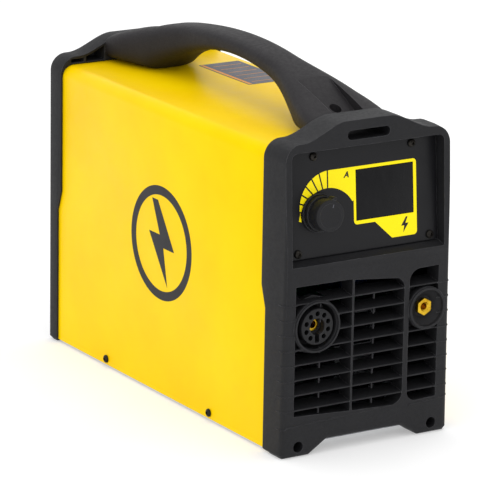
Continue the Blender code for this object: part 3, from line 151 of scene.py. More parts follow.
# a strip of equal rings joined along a route, closed at both ends
def swept(bm, rings):
    loops = []
    for ring in rings:
        verts = [bm.verts.new(point) for point in ring]
        loops.append([bm.edges.new((verts[i - 1], verts[i])) for i in range(len(verts))])
    for one, other in zip(loops, loops[1:]):
        bmesh.ops.bridge_loops(bm, edges=one + other)
    for loop in (loops[0], loops[-1]):
        bmesh.ops.contextual_create(bm, geom=loop)


# a prism of its own, ready to be cut out of a piece or joined on
def block(outline, plane, low, high, soft=0.0, segments=2):
    bm = bmesh.new()
    prism(bm, outline, plane, low, high, soft, segments)
    return bm


# a rectangle about a centre
def around(x, z, wide, tall):
    return rectangle(x - wide, z - tall, x + wide, z + tall)


def carried(bm, matrix):
    bmesh.ops.transform(bm, matrix=matrix, verts=bm.verts[:])
    return bm


def meshObject(name, bm, material=None, smooth=35):
    bmesh.ops.recalc_face_normals(bm, faces=bm.faces[:])
    mesh = bpy.data.meshes.new(name)
    bm.to_mesh(mesh)
    bm.free()
    obj = bpy.data.objects.new(name, mesh)
    bpy.context.scene.collection.objects.link(obj)
    dress(obj, material, smooth)
    return obj


def dress(obj, material, smooth=35):
    obj.data.materials.clear()
    if material:
        obj.data.materials.append(material)
    obj.data.shade_smooth()
    obj.data.set_sharp_from_angle(angle=math.radians(smooth))


# booleans run one after another and are written into the mesh; a bare bmesh is cut away
def carve(obj, *steps):
    tools = []
    for step in steps:
        operation, bm = step if isinstance(step, tuple) else ("DIFFERENCE", step)
        tool = meshObject("tool", bm)
        modifier = obj.modifiers.new(operation, "BOOLEAN")
        modifier.operation = operation
        modifier.solver = "EXACT"
        modifier.object = tool
        tools.append(tool)
    shown = obj.evaluated_get(bpy.context.evaluated_depsgraph_get())
    shaped = bpy.data.meshes.new_from_object(shown)
    obj.modifiers.clear()
    obj.data = shaped
    for tool in tools:
        bpy.data.objects.remove(tool)
    return obj


# rounds the sharp edges of a carved piece
def soften(obj, width, material, smooth=40, shortest=1.5):
    bm = bmesh.new()
    bm.from_mesh(obj.data)
    bmesh.ops.remove_doubles(bm, verts=bm.verts[:], dist=0.00001)
    bmesh.ops.dissolve_limit(bm, angle_limit=math.radians(1), verts=bm.verts[:], edges=bm.edges[:])
    edges = [e for e in bm.edges if e.is_manifold and e.calc_face_angle(0.0) > math.radians(40)
             and e.calc_length() > shortest * width * mm]
    bmesh.ops.bevel(bm, geom=edges, offset=width * mm, offset_type="OFFSET", segments=2, profile=0.5,
                    affect="EDGES", clamp_overlap=True, material=-1)
    bm.to_mesh(obj.data)
    bm.free()
    dress(obj, material, smooth)
    return obj


# a finished piece joins its body and stands in for CAD nodes
def place(obj, body, slot, *nodes):
    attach(obj, body)
    if nodes:
        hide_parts(*nodes)
    return obj


def depth(value):
    return faceY / mm + value


def addNode(tree, kind, settings={}, inputs={}):
    node = tree.nodes.new("ShaderNode" + kind)
    for name, value in settings.items():
        setattr(node, name, value)
    for socket, value in inputs.items():
        if isinstance(value, bpy.types.NodeSocket):
            tree.links.new(value, node.inputs[socket])
        else:
            node.inputs[socket].default_value = value
    return node


def startMaterial(name, sockets):
    material = bpy.data.materials.new(name)
    material.use_nodes = True
    tree = material.node_tree
    shader = tree.nodes["Principled BSDF"]
    for socket, value in sockets.items():
        shader.inputs[socket].default_value = value
    return material, tree, shader, addNode(tree, "TexCoord").outputs["Object"]


def noiseNode(tree, where, size, detail=2.0, rough=0.5):
    return addNode(tree, "TexNoise", {}, {
        "Vector": where, "Scale": 1 / (size * mm), "Detail": detail, "Roughness": rough,
    }).outputs["Fac"]


def rampNode(tree, value, stops):
    ramp = addNode(tree, "ValToRGB", {}, {"Fac": value})
    while len(ramp.color_ramp.elements) < len(stops):
        ramp.color_ramp.elements.new(0.5)
    for element, (position, colour) in zip(ramp.color_ramp.elements, stops):
        element.position = position
        element.color = hexColour(colour)
    return ramp.outputs["Color"]


def rangeNode(tree, value, low, high, fromLow=0.0, fromHigh=1.0):
    return addNode(tree, "MapRange", {}, {
        "Value": value, "From Min": fromLow, "From Max": fromHigh, "To Min": low, "To Max": high,
    }).outputs["Result"]


def bumpNode(tree, height, distance, strength, normal=None):
    inputs = {"Height": height, "Distance": distance * mm, "Strength": strength}
    if normal:
        inputs["Normal"] = normal
    return addNode(tree, "Bump", {}, inputs).outputs["Normal"]


# ABS moulded against a spark-eroded tool: fine even grain, lighter along its edges, partly rubbed wear and
# partly a painted highlight, and smoother there
def mouldedPlastic(name, dark, light, wearAndSheenTone, grain, rough):
    material, tree, shader, where = startMaterial(name, {"IOR": 1.53, "Specular IOR Level": 0.16})
    speckle = noiseNode(tree, where, grain, 3.0, 0.65)
    cloud = noiseNode(tree, where, 28.0, 2.0)
    base = rampNode(tree, speckle, [(0.32, dark), (0.68, light)])
    shade = addNode(tree, "Mix", {"data_type": "RGBA", "blend_type": "MULTIPLY"}, {
        "Factor": 0.5, "A": base, "B": rampNode(tree, cloud, [(0.3, "#D8D8DA"), (0.7, "#FFFFFF")]),
    }).outputs["Result"]
    edge = addNode(tree, "Bevel", {"samples": 4}, {"Radius": 0.7 * mm}).outputs["Normal"]
    flat = addNode(tree, "NewGeometry").outputs["Normal"]
    likeness = addNode(tree, "VectorMath", {"operation": "DOT_PRODUCT"}, {0: edge, 1: flat}).outputs["Value"]
    # where the bevel normal turns away from the face normal, the colour goes towards the edge tone: partly
    # rubbed wear, partly a painted highlight along every edge
    edgeWearAndSheen = rangeNode(tree, likeness, 1.0, 0.0, 0.82, 0.995)
    patchyWearAndSheen = addNode(tree, "Math", {"operation": "MULTIPLY"}, {
        0: edgeWearAndSheen, 1: rangeNode(tree, noiseNode(tree, where, 6.0, 3.0), 0.25, 1.0, 0.35, 0.65),
    }).outputs["Value"]
    colour = addNode(tree, "Mix", {"data_type": "RGBA"}, {
        "Factor": patchyWearAndSheen, "A": shade, "B": hexColour(wearAndSheenTone),
    }).outputs["Result"]
    gloss = rangeNode(tree, noiseNode(tree, where, 3.0, 2.0), rough - 0.05, rough + 0.07, 0.3, 0.7)
    tree.links.new(colour, shader.inputs["Base Color"])
    tree.links.new(gloss, shader.inputs["Roughness"])
    tree.links.new(bumpNode(tree, speckle, 0.05, 0.55, edge), shader.inputs["Normal"])
    return material


# steel sheet with a polyester powder coat: even colour, soft orange-peel ripple, thin clear gloss
def powderCoat(name, deep, bright, rubbedTo):
    material, tree, shader, where = startMaterial(name, {
        "IOR": 1.5, "Specular IOR Level": 0.09, "Specular Tint": hexColour(bright),
    })
    cloud = noiseNode(tree, where, 60.0, 2.0)
    ripple = noiseNode(tree, where, 1.6, 1.0)
    scuff = noiseNode(tree, where, 9.0, 5.0, 0.7)
    base = rampNode(tree, cloud, [(0.3, deep), (0.7, bright)])
    wearAndSheenTone = addNode(tree, "Mix", {"data_type": "RGBA"}, {
        "Factor": rangeNode(tree, scuff, 0.0, 0.10, 0.55, 0.75), "A": base, "B": hexColour(rubbedTo),
    }).outputs["Result"]
    tree.links.new(wearAndSheenTone, shader.inputs["Base Color"])
    tree.links.new(rangeNode(tree, scuff, 0.30, 0.40, 0.35, 0.70), shader.inputs["Roughness"])
    tree.links.new(bumpNode(tree, ripple, 0.03, 0.22), shader.inputs["Normal"])
    return material


# printed or laminated film: flat ink with a fine screen texture
def printedFilm(name, dark, light, rough, size=0.35):
    material, tree, shader, where = startMaterial(name, {"IOR": 1.5, "Specular IOR Level": 0.2})
    speckle = noiseNode(tree, where, size, 2.0)
    cloud = noiseNode(tree, where, 14.0, 3.0)
    tree.links.new(rampNode(tree, speckle, [(0.35, dark), (0.65, light)]), shader.inputs["Base Color"])
    tree.links.new(rangeNode(tree, cloud, rough - 0.05, rough + 0.06, 0.3, 0.7), shader.inputs["Roughness"])
    tree.links.new(bumpNode(tree, speckle, 0.02, 0.25), shader.inputs["Normal"])
    return material


# smoked acrylic sheet: near-black, polished, with faint wipe marks in the gloss
def smokedAcrylic(name):
    material, tree, shader, where = startMaterial(name, {"IOR": 1.49, "Specular IOR Level": 0.14})
    stretched = addNode(tree, "Mapping", {}, {"Vector": where, "Scale": (1.0, 1.0, 0.25)}).outputs["Vector"]
    smear = noiseNode(tree, stretched, 5.0, 4.0, 0.6)
    tree.links.new(rampNode(tree, smear, [(0.3, "#0C0C0E"), (0.7, "#121214")]), shader.inputs["Base Color"])
    tree.links.new(rangeNode(tree, smear, 0.16, 0.30, 0.35, 0.7), shader.inputs["Roughness"])
    return material


# metal cut or pressed: streaks run along one axis, with a dull film over them
def workedMetal(name, dark, light, rough, streak=(1.0, 1.0, 1.0), grain=0.5, metallic=1.0):
    material, tree, shader, where = startMaterial(name, {"Metallic": metallic})
    drawn = addNode(tree, "Mapping", {}, {"Vector": where, "Scale": streak}).outputs["Vector"]
    lines = noiseNode(tree, drawn, grain, 4.0, 0.6)
    film = noiseNode(tree, where, 5.0, 4.0, 0.6)
    tint = addNode(tree, "Math", {"operation": "ADD"}, {
        0: rangeNode(tree, lines, 0.0, 0.45, 0.3, 0.7), 1: rangeNode(tree, film, 0.0, 0.55, 0.3, 0.7),
    }).outputs["Value"]
    tree.links.new(rampNode(tree, tint, [(0.1, dark), (0.9, light)]), shader.inputs["Base Color"])
    tree.links.new(rangeNode(tree, film, rough - 0.06, rough + 0.12, 0.3, 0.7), shader.inputs["Roughness"])
    tree.links.new(bumpNode(tree, lines, 0.02, 0.35), shader.inputs["Normal"])
    return material


# glass-fibre board under green solder mask, with pale tracks and pads
def solderMask(name):
    material, tree, shader, where = startMaterial(name, {"IOR": 1.5})
    cells = addNode(tree, "TexVoronoi", {"distance": "MANHATTAN", "feature": "DISTANCE_TO_EDGE"}, {
        "Vector": where, "Scale": 1 / (7 * mm),
    }).outputs["Distance"]
    track = rangeNode(tree, cells, 1.0, 0.0, 0.05, 0.09)
    weave = noiseNode(tree, where, 0.6, 2.0)
    mask = rampNode(tree, weave, [(0.3, "#0B4A26"), (0.7, "#126134")])
    colour = addNode(tree, "Mix", {"data_type": "RGBA"}, {
        "Factor": track, "A": mask, "B": hexColour("#2E8B57"),
    }).outputs["Result"]
    tree.links.new(colour, shader.inputs["Base Color"])
    tree.links.new(rangeNode(tree, weave, 0.30, 0.42), shader.inputs["Roughness"])
    tree.links.new(bumpNode(tree, track, 0.05, 0.5), shader.inputs["Normal"])
    return material


# enamelled copper wire laid side by side: 1.2 mm turns
def woundWire(name):
    material, tree, shader, where = startMaterial(name, {"Metallic": 0.7, "Coat Weight": 0.4})
    turns = addNode(tree, "TexWave", {"wave_type": "BANDS", "bands_direction": "Z"}, {
        "Vector": where, "Scale": 1 / (1.2 * mm) / 20, "Distortion": 0.4, "Detail": 1.0,
    }).outputs["Fac"]
    tree.links.new(rampNode(tree, turns, [(0.1, "#2A120A"), (0.6, "#6A3418")]), shader.inputs["Base Color"])
    tree.links.new(rangeNode(tree, turns, 0.45, 0.28), shader.inputs["Roughness"])
    tree.links.new(bumpNode(tree, turns, 0.4, 0.8), shader.inputs["Normal"])
    return material


finishes = {
    # the third colour of each moulded plastic is its edge tone, partly rubbed wear and partly a painted
    # highlight
    "black_plastic": mouldedPlastic("mouldedBlackAbs", "#1C1C1E", "#272729", "#5C5C5F", 0.7, 0.54),
    "grip_plastic": mouldedPlastic("mouldedHandleNylon", "#211F21", "#2C2A2C", "#5E5C5F", 0.7, 0.56),
    "knob_plastic": mouldedPlastic("knobSatinAbs", "#19191B", "#232325", "#545457", 0.5, 0.44),
    "yellow_paint": powderCoat("yellowPowderCoat", "#F6CA00", "#FBD300", "#F2CE10"),
    "fascia_film": printedFilm("blackFasciaFilm", "#101012", "#17171A", 0.36),
    "smoked_acrylic": smokedAcrylic("smokedAcrylicWindow"),
    "zinc_steel": workedMetal("zincPlatedSteel", "#8E9196", "#C9CCD0", 0.36),
    "black_screw": workedMetal("blackOxideSteel", "#1A1917", "#3A3632", 0.40, metallic=0.85),
    "brass": workedMetal("turnedBrass", "#A67A10", "#F0C83C", 0.26, grain=0.8),
    "nickel": workedMetal("nickelPlate", "#9C978E", "#D6D1C8", 0.26),
    "aluminium": workedMetal("extrudedAluminium", "#7E8084", "#B9BBBF", 0.42, (1.0, 0.04, 1.0)),
    "circuit_board": solderMask("greenSolderMask"),
    "ferrite": printedFilm("sinteredFerrite", "#232325", "#333336", 0.60, 0.8),
    "copper_winding": woundWire("enamelledCopperWire"),
    "capacitor_sleeve": printedFilm("shrinkSleeve", "#141F3C", "#1B2A4E", 0.32, 1.5),
    "hose_rubber": printedFilm("blueHoseRubber", "#16295C", "#1F3878", 0.52, 0.9),
    "lead_rubber": printedFilm("blackLeadRubber", "#171717", "#222222", 0.58, 0.7),
}
inks = {
    "yellow": printedFilm("yellowScreenInk", "#FFEE00", "#FFE600", 0.42),
    "black": printedFilm("blackScreenInk", "#1B191D", "#232126", 0.40),
    "white": printedFilm("whiteScreenInk", "#D9D9DB", "#E6E6E8", 0.45),
    "orange": printedFilm("orangeLabelInk", "#D98A1E", "#E59A2C", 0.45),
    # the grey label ink is a black label lightened by a painted sheen; the knob's pointer line shares it
    "grey": printedFilm("greyLabelVinyl", "#55565C", "#66676E", 0.48, 1.4),
    "primer": powderCoat("blackPrimer", "#121213", "#1A1A1B", "#222223"),
}
print("finishes made")

# CAD nodes that stay as they are take their finish from their own slot
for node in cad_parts.values():
    slotName = node.data.materials[0].name.split(".")[0] if node.data.materials else ""
    node.data.materials.clear()
    node.data.materials.append(finishes.get(slotName, finishes["black_plastic"]))

bezelShape = {
    "halfWidth": 77.8, "shoulder": 247.5, "crown": 260.8, "corner": 14.0, "cornerSteps": 14,
    "humpOuter": 62.0, "humpInner": 20.0, "humpSteps": 22, "draft": 2.6, "draftDepth": 19.0,
    "notchHalf": 35.0, "notchTop": 10.3, "footInner": 51.0, "footChamfer": 3.0,
    "rim": 4.5, "rimSegments": 5, "wall": 3.0, "footTop": 14.0, "ceilingDrop": 3.3,
    "coverHalf": 76.3, "coverTop": 240.9, "coverCorner": 10.3,
    "stepLow": 116.0, "stepHigh": 133.5,
    "slotZ": 249.3, "slotLength": 39.0, "slotHeight": 7.5,
    "footScrewX": 62.0, "footScrewZ": 8.7, "footBore": 4.5, "footHole": 2.2,
    "bladeFirst": 37.6, "bladePitch": 12.1, "bladeCount": 8, "bladeThick": 1.2, "bladeRise": 2.7,
    "nibDrop": 4.2, "lineSize": 0.62, "edgeSoft": 0.35,
}
fasciaShape = {
    "depth": 11.0, "height": 197.8, "tilt": math.atan(0.0798),
    "halfWidth": 68.0, "halfHeight": 41.9, "sheet": 2.0, "corner": 3.0,
    "windowX": 19.75, "windowZ": 1.96, "windowWidth": 53.3, "windowHeight": 40.0,
    "knobX": -41.6, "knobZ": -7.2,
    "screws": ((-45.1, 36.7), (45.1, 36.7), (-60.8, -37.2), (60.8, -37.2)),
}
# carries pieces drawn flat on the fascia, local X right, Z up, Y into it, onto the tilted plate
onFascia = (Matrix.Translation((0.0, depth(fasciaShape["depth"]) * mm, fasciaShape["height"] * mm))
            @ Matrix.Rotation(-fasciaShape["tilt"], 4, "X"))


def tilted(bm):
    return carried(bm, onFascia)


def mirroredOutline(points):
    return points + [(-x, z) for x, z in reversed(points)]


def roofHeight(x):
    s = bezelShape
    run = min(max((s["humpOuter"] - abs(x)) / (s["humpOuter"] - s["humpInner"]), 0.0), 1.0)
    return s["shoulder"] + (s["crown"] - s["shoulder"]) * run * run * (3 - 2 * run)


def bezelOutline():
    s = bezelShape
    side = s["halfWidth"]
    points = [(s["notchHalf"], s["notchTop"]), (s["footInner"], 0.0), (side - s["footChamfer"], 0.0)]
    points += shoulderPoints(side, s["footChamfer"], s["shoulder"], s["corner"], s["cornerSteps"])
    for step in range(1, s["humpSteps"] + 1):
        x = s["humpOuter"] + (s["humpInner"] - s["humpOuter"]) * step / s["humpSteps"]
        points.append((x, roofHeight(x)))
    return mirroredOutline(points)


# the bezel's outer block: its rim rounded, its sides drawn in towards the top by the draft
def bezelBlock(bm, rim, edge, draft=0.0):
    s = bezelShape
    rimVerts = set(prism(bm, bezelOutline(), "XZ", edge, rim))
    if draft:
        bmesh.ops.bisect_plane(bm, geom=bm.verts[:] + bm.edges[:] + bm.faces[:], dist=0.00001,
                               plane_co=(0, depth(s["draftDepth"]) * mm, 0), plane_no=(0, 1, 0))
        for vert in rimVerts:
            vert.co.x *= 1 - draft / s["halfWidth"] * min(vert.co.z / mm / s["shoulder"], 1.0)
    edges = [e for e in bm.edges if set(e.verts) <= rimVerts]
    bmesh.ops.bevel(bm, geom=edges, offset=s["rim"] * mm, offset_type="OFFSET", segments=s["rimSegments"],
                    profile=0.5, affect="EDGES", clamp_overlap=False, material=-1)


# right half of an upright outline with a round shoulder, from its foot to the shoulder's end
def shoulderPoints(side, foot, top, corner, steps):
    return [(side, foot)] + arcPoints((side - corner, top - corner), corner, 0, 90, steps)


def coverRebate(low, high):
    s = bezelShape
    points = shoulderPoints(s["coverHalf"], -2.0, s["coverTop"], s["coverCorner"], 12)
    return block(mirroredOutline(points), "XZ", low, high)


def lipTrim(lowEdge, highEdge):
    s = bezelShape
    side = s["halfWidth"] + 2
    beyond = highEdge + math.copysign(2, highEdge - lowEdge)
    outline = [(lowEdge, -2), (beyond, -2), (beyond, s["stepHigh"]), (highEdge, s["stepHigh"]),
               (lowEdge, s["stepLow"])]
    return block(outline, "YZ", -side, side)


def strapSlot(low, high):
    s = bezelShape
    height = s["slotHeight"] / 2
    box = around(0, s["slotZ"], s["slotLength"] / 2, height)
    return block(rounded(box, height - 0.05, 8), "XZ", low, high)


def footBores(low, high, radius):
    s = bezelShape
    bm = bmesh.new()
    for side in (-1, 1):
        prism(bm, circle((side * s["footScrewX"], s["footScrewZ"]), radius, 28), "XZ", low, high)
    return bm


def bladeStrips(outer, inner, left, right):
    s = bezelShape
    bm = bmesh.new()
    for step in range(s["bladeCount"]):
        low = s["bladeFirst"] + s["bladePitch"] * step
        outline = [
            (outer, low, 0.5), (inner, low + s["bladeRise"], 0),
            (inner, low + s["bladeRise"] + s["bladeThick"], 0), (outer, low + s["bladeThick"], 0.5),
        ]
        prism(bm, rounded(outline, 0, 4), "YZ", left, right)
    return bm


# short ribs that hang under each blade half-way across a field
def bladeNibs(places, front, back):
    s = bezelShape
    bm = bmesh.new()
    for x in places:
        for step in range(s["bladeCount"]):
            edge = s["bladeFirst"] + s["bladePitch"] * step
            prism(bm, rectangle(x - 0.5, edge - s["nibDrop"], x + 0.5, edge + 0.5), "XZ", front, back, 0.2)
    return bm


# a fine raised line that starts on the grille's margin and fades out round the corner
def cornerLine(bm, start, height, side, farHeight=None):
    s = bezelShape
    drawn = s["draft"] * height / s["shoulder"]
    corner = (s["halfWidth"] - s["rim"], s["rim"])
    route = [(start, 0.0)] + [(corner[0] * t + start * (1 - t), 0.0) for t in (0.3, 0.65)]
    route += arcPoints(corner, s["rim"], -90, 0, 8)
    route += [(s["halfWidth"], s["rim"] + 2.5 * t) for t in (0.4, 1, 2)]
    rings = []
    for i, (x, y) in enumerate(route):
        share = i / (len(route) - 1)
        size = s["lineSize"] * min(1.0, 3.2 * (1 - share) + 0.12)
        middle = height
        if farHeight is not None:
            middle = farHeight + (height - farHeight) * min(1.0, 3 * share)
        if x <= corner[0]:
            out = Vector((0.0, -1.0))
        elif y >= corner[1]:
            out = Vector((1.0, 0.0))
        else:
            out = (Vector((x, y)) - Vector(corner)).normalized()
        ring = []
        if x > corner[0] - 8:
            x -= drawn * (1 - y / s["draftDepth"])
        for angle in range(0, 360, 45):
            reach = size * 0.7 * math.cos(math.radians(angle))
            rise = size * math.sin(math.radians(angle))
            ring.append((side * (x + out.x * reach) * mm, faceY + (y + out.y * reach) * mm,
                         (middle + rise) * mm))
        rings.append(ring)
    swept(bm, rings)


frontShape = {
    "edge": 31.9, "lowEdge": 26.2, "lean": 0.052, "bend": 145.0, "grille": 16.0, "rebate": 20.0,
    "boreSeat": 12.0, "socketWall": 7.0,
    "nibs": (-43.5, 5.7), "left": -66.8, "right": 65.4, "thin": (-15.0, -13.3), "thick": (33.6, 38.0),
    "torch": (-47.2, 103.6), "work": (54.7, 103.9),
    "sockets": (("torch", 21.0, 19.9, 24.2), ("work", 17.25, 16.1, 20.4)),
    "recessHalf": 70.0, "recessCorner": 5.0, "mouth": 150.0, "opening": (56.0, 31.0),
}


# the grille's three openings, between the margins, the thin rib and the thick rib
def frontFields():
    s = frontShape
    left, right = s["thin"]
    near, far = s["thick"]
    first = [(s["left"], 33.7), (left, 30.8), (left, 136.9), (s["left"], 137.2)]
    second = [(right, 30.7, 0.8), (near - 8, 29.0, 4), (near, 33.5, 9), (near, 131.2, 9), (right, 136.1, 0.8)]
    third = [(far, 29.3, 8.5), (s["right"], 30.5, 0.8), (s["right"], 137.5, 0.8), (far, 136.8, 10)]
    return rounded(first, 0.8, 3), rounded(second, 1, 7), rounded(third, 1, 8)


def makeFrontBezel():
    s, b = frontShape, bezelShape
    bm = bmesh.new()
    bezelBlock(bm, depth(0), depth(s["edge"]), b["draft"])
    bezel = meshObject("frontBezel", bm)
    inner, past = b["halfWidth"] - b["wall"], b["halfWidth"] + 2

    top = b["crown"] + 10
    lean = block([(depth(-2), s["bend"] - 30), (depth(-0.01), s["bend"]),
                  (depth((top - s["bend"]) * s["lean"]), top), (depth(-2), top)], "YZ", -past, past)
    ceiling = b["coverTop"] - b["ceilingDrop"]
    slope = math.tan(fasciaShape["tilt"])
    behind = fasciaShape["depth"] + 4.8
    cavity = block([
        (depth(s["grille"]), b["footTop"]), (depth(s["grille"]), s["mouth"] - 9),
        (depth(behind + (s["mouth"] - fasciaShape["height"]) * slope), s["mouth"] - 1),
        (depth(behind + (ceiling - fasciaShape["height"]) * slope), ceiling),
        (depth(s["edge"] + 2), ceiling), (depth(s["edge"] + 2), b["footTop"]),
    ], "YZ", -inner, inner)

    fields = bmesh.new()
    for outline in frontFields():
        prism(fields, outline, "XZ", depth(-2), depth(s["grille"] + 2))
    bosses, holes, rooms = bmesh.new(), bmesh.new(), bmesh.new()
    for kind, boss, hole, room in s["sockets"]:
        prism(bosses, circle(s[kind], boss, 72), "XZ", depth(-0.4), depth(s["socketWall"]), 0.5, 3)
        prism(holes, circle(s[kind], hole, 64), "XZ", depth(-2), depth(s["grille"] + 2))
        prism(rooms, circle(s[kind], room, 48), "XZ", depth(s["socketWall"]), depth(s["grille"] + 2))

    f = fasciaShape
    wide, high, floor = s["recessHalf"], f["halfHeight"] + 0.3, f["sheet"] + 0.3
    mouth = s["mouth"] - f["height"]
    recess = block(rounded(around(0, 0, wide, high), s["recessCorner"], 6), "XZ", -30, floor)
    outline = [(floor, -high), (-f["depth"], mouth), (-30, mouth), (-30, 0), (floor, 0)]
    ledge = block(outline, "YZ", -wide, wide)
    opening = block(rounded(around(0, 0, *s["opening"]), 5, 5), "XZ", 0, 20)

    blades = bladeStrips(depth(0.3), depth(s["grille"] - 0.3), s["left"] - 1.2, s["right"] + 1.2)
    carve(
        bezel, lean, cavity, coverRebate(depth(s["rebate"]), depth(s["edge"] + 2)),
        lipTrim(depth(s["lowEdge"]), depth(s["edge"])), fields, ("UNION", blades), ("UNION", bosses),
        holes, rooms, tilted(recess), tilted(ledge), tilted(opening),
        strapSlot(depth(-2), depth(s["edge"] + 2)), footBores(depth(-2), depth(s["boreSeat"]), b["footBore"]),
        footBores(depth(s["boreSeat"] - 1), depth(s["rebate"] + 2), b["footHole"]),
    )
    soften(bezel, b["edgeSoft"], finishes["black_plastic"])
    place(bezel, "case", "black_plastic", "front_bezel")

    trim = bmesh.new()
    for step in range(b["bladeCount"]):
        height = b["bladeFirst"] + b["bladePitch"] * step + b["bladeThick"] / 2
        cornerLine(trim, -s["left"] - 1.5, height, -1)
        cornerLine(trim, s["right"] - 1.5, height, 1)
    cornerLine(trim, -22.0, 23.9, -1, 29.0)
    cornerLine(trim, 40.0, 29.5, 1, 26.5)
    addTo(trim, bladeNibs(s["nibs"], depth(0.8), depth(2.8)))
    place(meshObject("grilleTrim", trim, finishes["black_plastic"], 50), "case", "black_plastic")


makeFrontBezel()
print("front bezel made")

rearShape = {
    "length": 367.5, "edge": 346.3, "lowEdge": 352.3, "grille": 10.5, "rebate": 356.5,
    "recess": 10.0, "recessHalf": 64.0, "recessLow": 150.0, "recessHigh": 232.0,
    "fields": ((-48.0, -17.0), (-15.0, 15.0), (17.0, 48.0)), "fieldLow": 27.0, "fieldHigh": 135.0,
    "gland": (-44.0, 192.0), "glandHole": 9.3, "fitting": (-4.0, 188.0), "fittingHole": 6.8,
    "switch": (42.0, 192.0), "switchHalf": (11.0, 13.1), "boreSeat": 5.5, "rib": 55.0,
}


def makeRearBezel():
    s, b = rearShape, bezelShape
    rim, floor = s["length"], s["length"] - s["recess"]
    bm = bmesh.new()
    bezelBlock(bm, depth(rim), depth(s["edge"]))
    bezel = meshObject("rearBezel", bm)
    inner = b["halfWidth"] - b["wall"]
    ceiling = b["coverTop"] - b["ceilingDrop"]

    cavity = block([
        (depth(rim - s["grille"]), b["footTop"]), (depth(rim - s["grille"]), s["recessLow"] - 9),
        (depth(floor - b["wall"]), s["recessLow"] - 1), (depth(floor - b["wall"]), ceiling),
        (depth(s["edge"] - 2), ceiling), (depth(s["edge"] - 2), b["footTop"]),
    ], "YZ", -inner, inner)
    fields = bmesh.new()
    for left, right in s["fields"]:
        prism(fields, rounded(rectangle(left, s["fieldLow"], right, s["fieldHigh"]), 1.0, 3),
              "XZ", depth(rim - s["grille"] - 2), depth(rim + 2))
    hood = bmesh.new()
    for low, high in ((36.3, s["rib"] - 1), (s["rib"] + 1, b["halfWidth"] - 9.5)):
        xs = [low + (high - low) * step / 8 for step in range(9)]
        for side in (-1, 1):
            outline = [(side * x, roofHeight(x) - 2.2) for x in xs]
            outline += [(side * high, b["coverTop"] + 1.2), (side * low, b["coverTop"] + 1.2)]
            prism(hood, outline, "XZ", depth(s["edge"] - 2), depth(rim - b["wall"]))
    outline = rectangle(-s["recessHalf"], s["recessLow"], s["recessHalf"], s["recessHigh"])
    recess = block(rounded(outline, 5, 6), "XZ", depth(floor), depth(rim + 2))
    holes = bmesh.new()
    ends = (depth(floor - b["wall"] - 2), depth(floor + 1))
    prism(holes, circle(s["gland"], s["glandHole"], 40), "XZ", *ends)
    prism(holes, circle(s["fitting"], s["fittingHole"], 40), "XZ", *ends)
    prism(holes, around(*s["switch"], *s["switchHalf"]), "XZ", *ends)

    left, right = s["fields"][0][0] - 1.2, s["fields"][2][1] + 1.2
    blades = bladeStrips(depth(rim - 0.3), depth(rim - s["grille"] + 0.3), left, right)
    carve(
        bezel, cavity, coverRebate(depth(s["edge"] - 2), depth(s["rebate"])),
        lipTrim(depth(s["lowEdge"]), depth(s["edge"])), fields, ("UNION", blades), hood, recess, holes,
        strapSlot(depth(s["edge"] - 2), depth(rim + 2)),
        footBores(depth(rim - s["boreSeat"]), depth(rim + 2), b["footBore"]),
        footBores(depth(s["rebate"] - 2), depth(rim - s["boreSeat"] + 1), b["footHole"]),
    )
    soften(bezel, b["edgeSoft"], finishes["black_plastic"])
    place(bezel, "case", "black_plastic", "rear_bezel")


makeRearBezel()
print("rear bezel made")

coverShape = {
    "half": 76.0, "top": 240.6, "foot": 2.7, "sheet": 1.2, "corner": 10.0, "start": 20.3, "end": 356.2,
    "screwDepths": (108.3, 270.9), "screwZ": 7.6, "handleScrews": (52.4, 334.5),
    "labelLow": (24.0, 216.0), "labelHigh": (63.0, 295.0), "stripe": 4.0,
    "markDepth": 185.0, "markZ": 128.0, "markRadius": 47.0, "markRing": 7.5, "boltSize": 56.0,
    "ink": 0.12, "film": 0.16,
}


def makeCover():
    s = coverShape
    outer, inner = (shoulderPoints(s["half"] - t, s["foot"], s["top"] - t, s["corner"] - t, 16)
                    for t in (0.0, s["sheet"]))
    outline = mirroredOutline(outer) + [(-x, z) for x, z in inner] + list(reversed(inner))
    cover = meshObject("sideCover", block(outline, "XZ", depth(s["start"]), depth(s["end"]), 0.2))
    holes = bmesh.new()
    for at in s["screwDepths"]:
        for sign in (-1, 1):
            ends = sorted((sign * (s["half"] - 4), sign * (s["half"] + 2)))
            prism(holes, circle((depth(at), s["screwZ"]), 2.2, 20), "YZ", *ends)
    for at in s["handleScrews"]:
        prism(holes, circle((0, depth(at)), 2.5, 20), "XY", s["top"] - 4, s["top"] + 2)
    carve(cover, holes)
    dress(cover, finishes["yellow_paint"], 25)
    # the faces that look inwards show the dark primer
    cover.data.materials.append(inks["primer"])
    middle = Vector((0, 0, s["top"] / 2 * mm))
    for face in cover.data.polygons:
        outwards = face.center - middle
        outwards.y = 0
        if face.normal.dot(outwards.normalized()) < -0.05:
            face.material_index = 1
    place(cover, "case", "yellow_paint", "side_cover")


# a lightning bolt about a centre, a plain sign for electric power
def boltOutline(cx, cz, size):
    shape = ((0.10, 0.62), (-0.36, -0.06), (-0.06, -0.06), (-0.18, -0.62), (0.34, 0.12), (0.04, 0.12),
             (0.26, 0.62))
    return [(cx + x * size, cz + z * size) for x, z in shape]


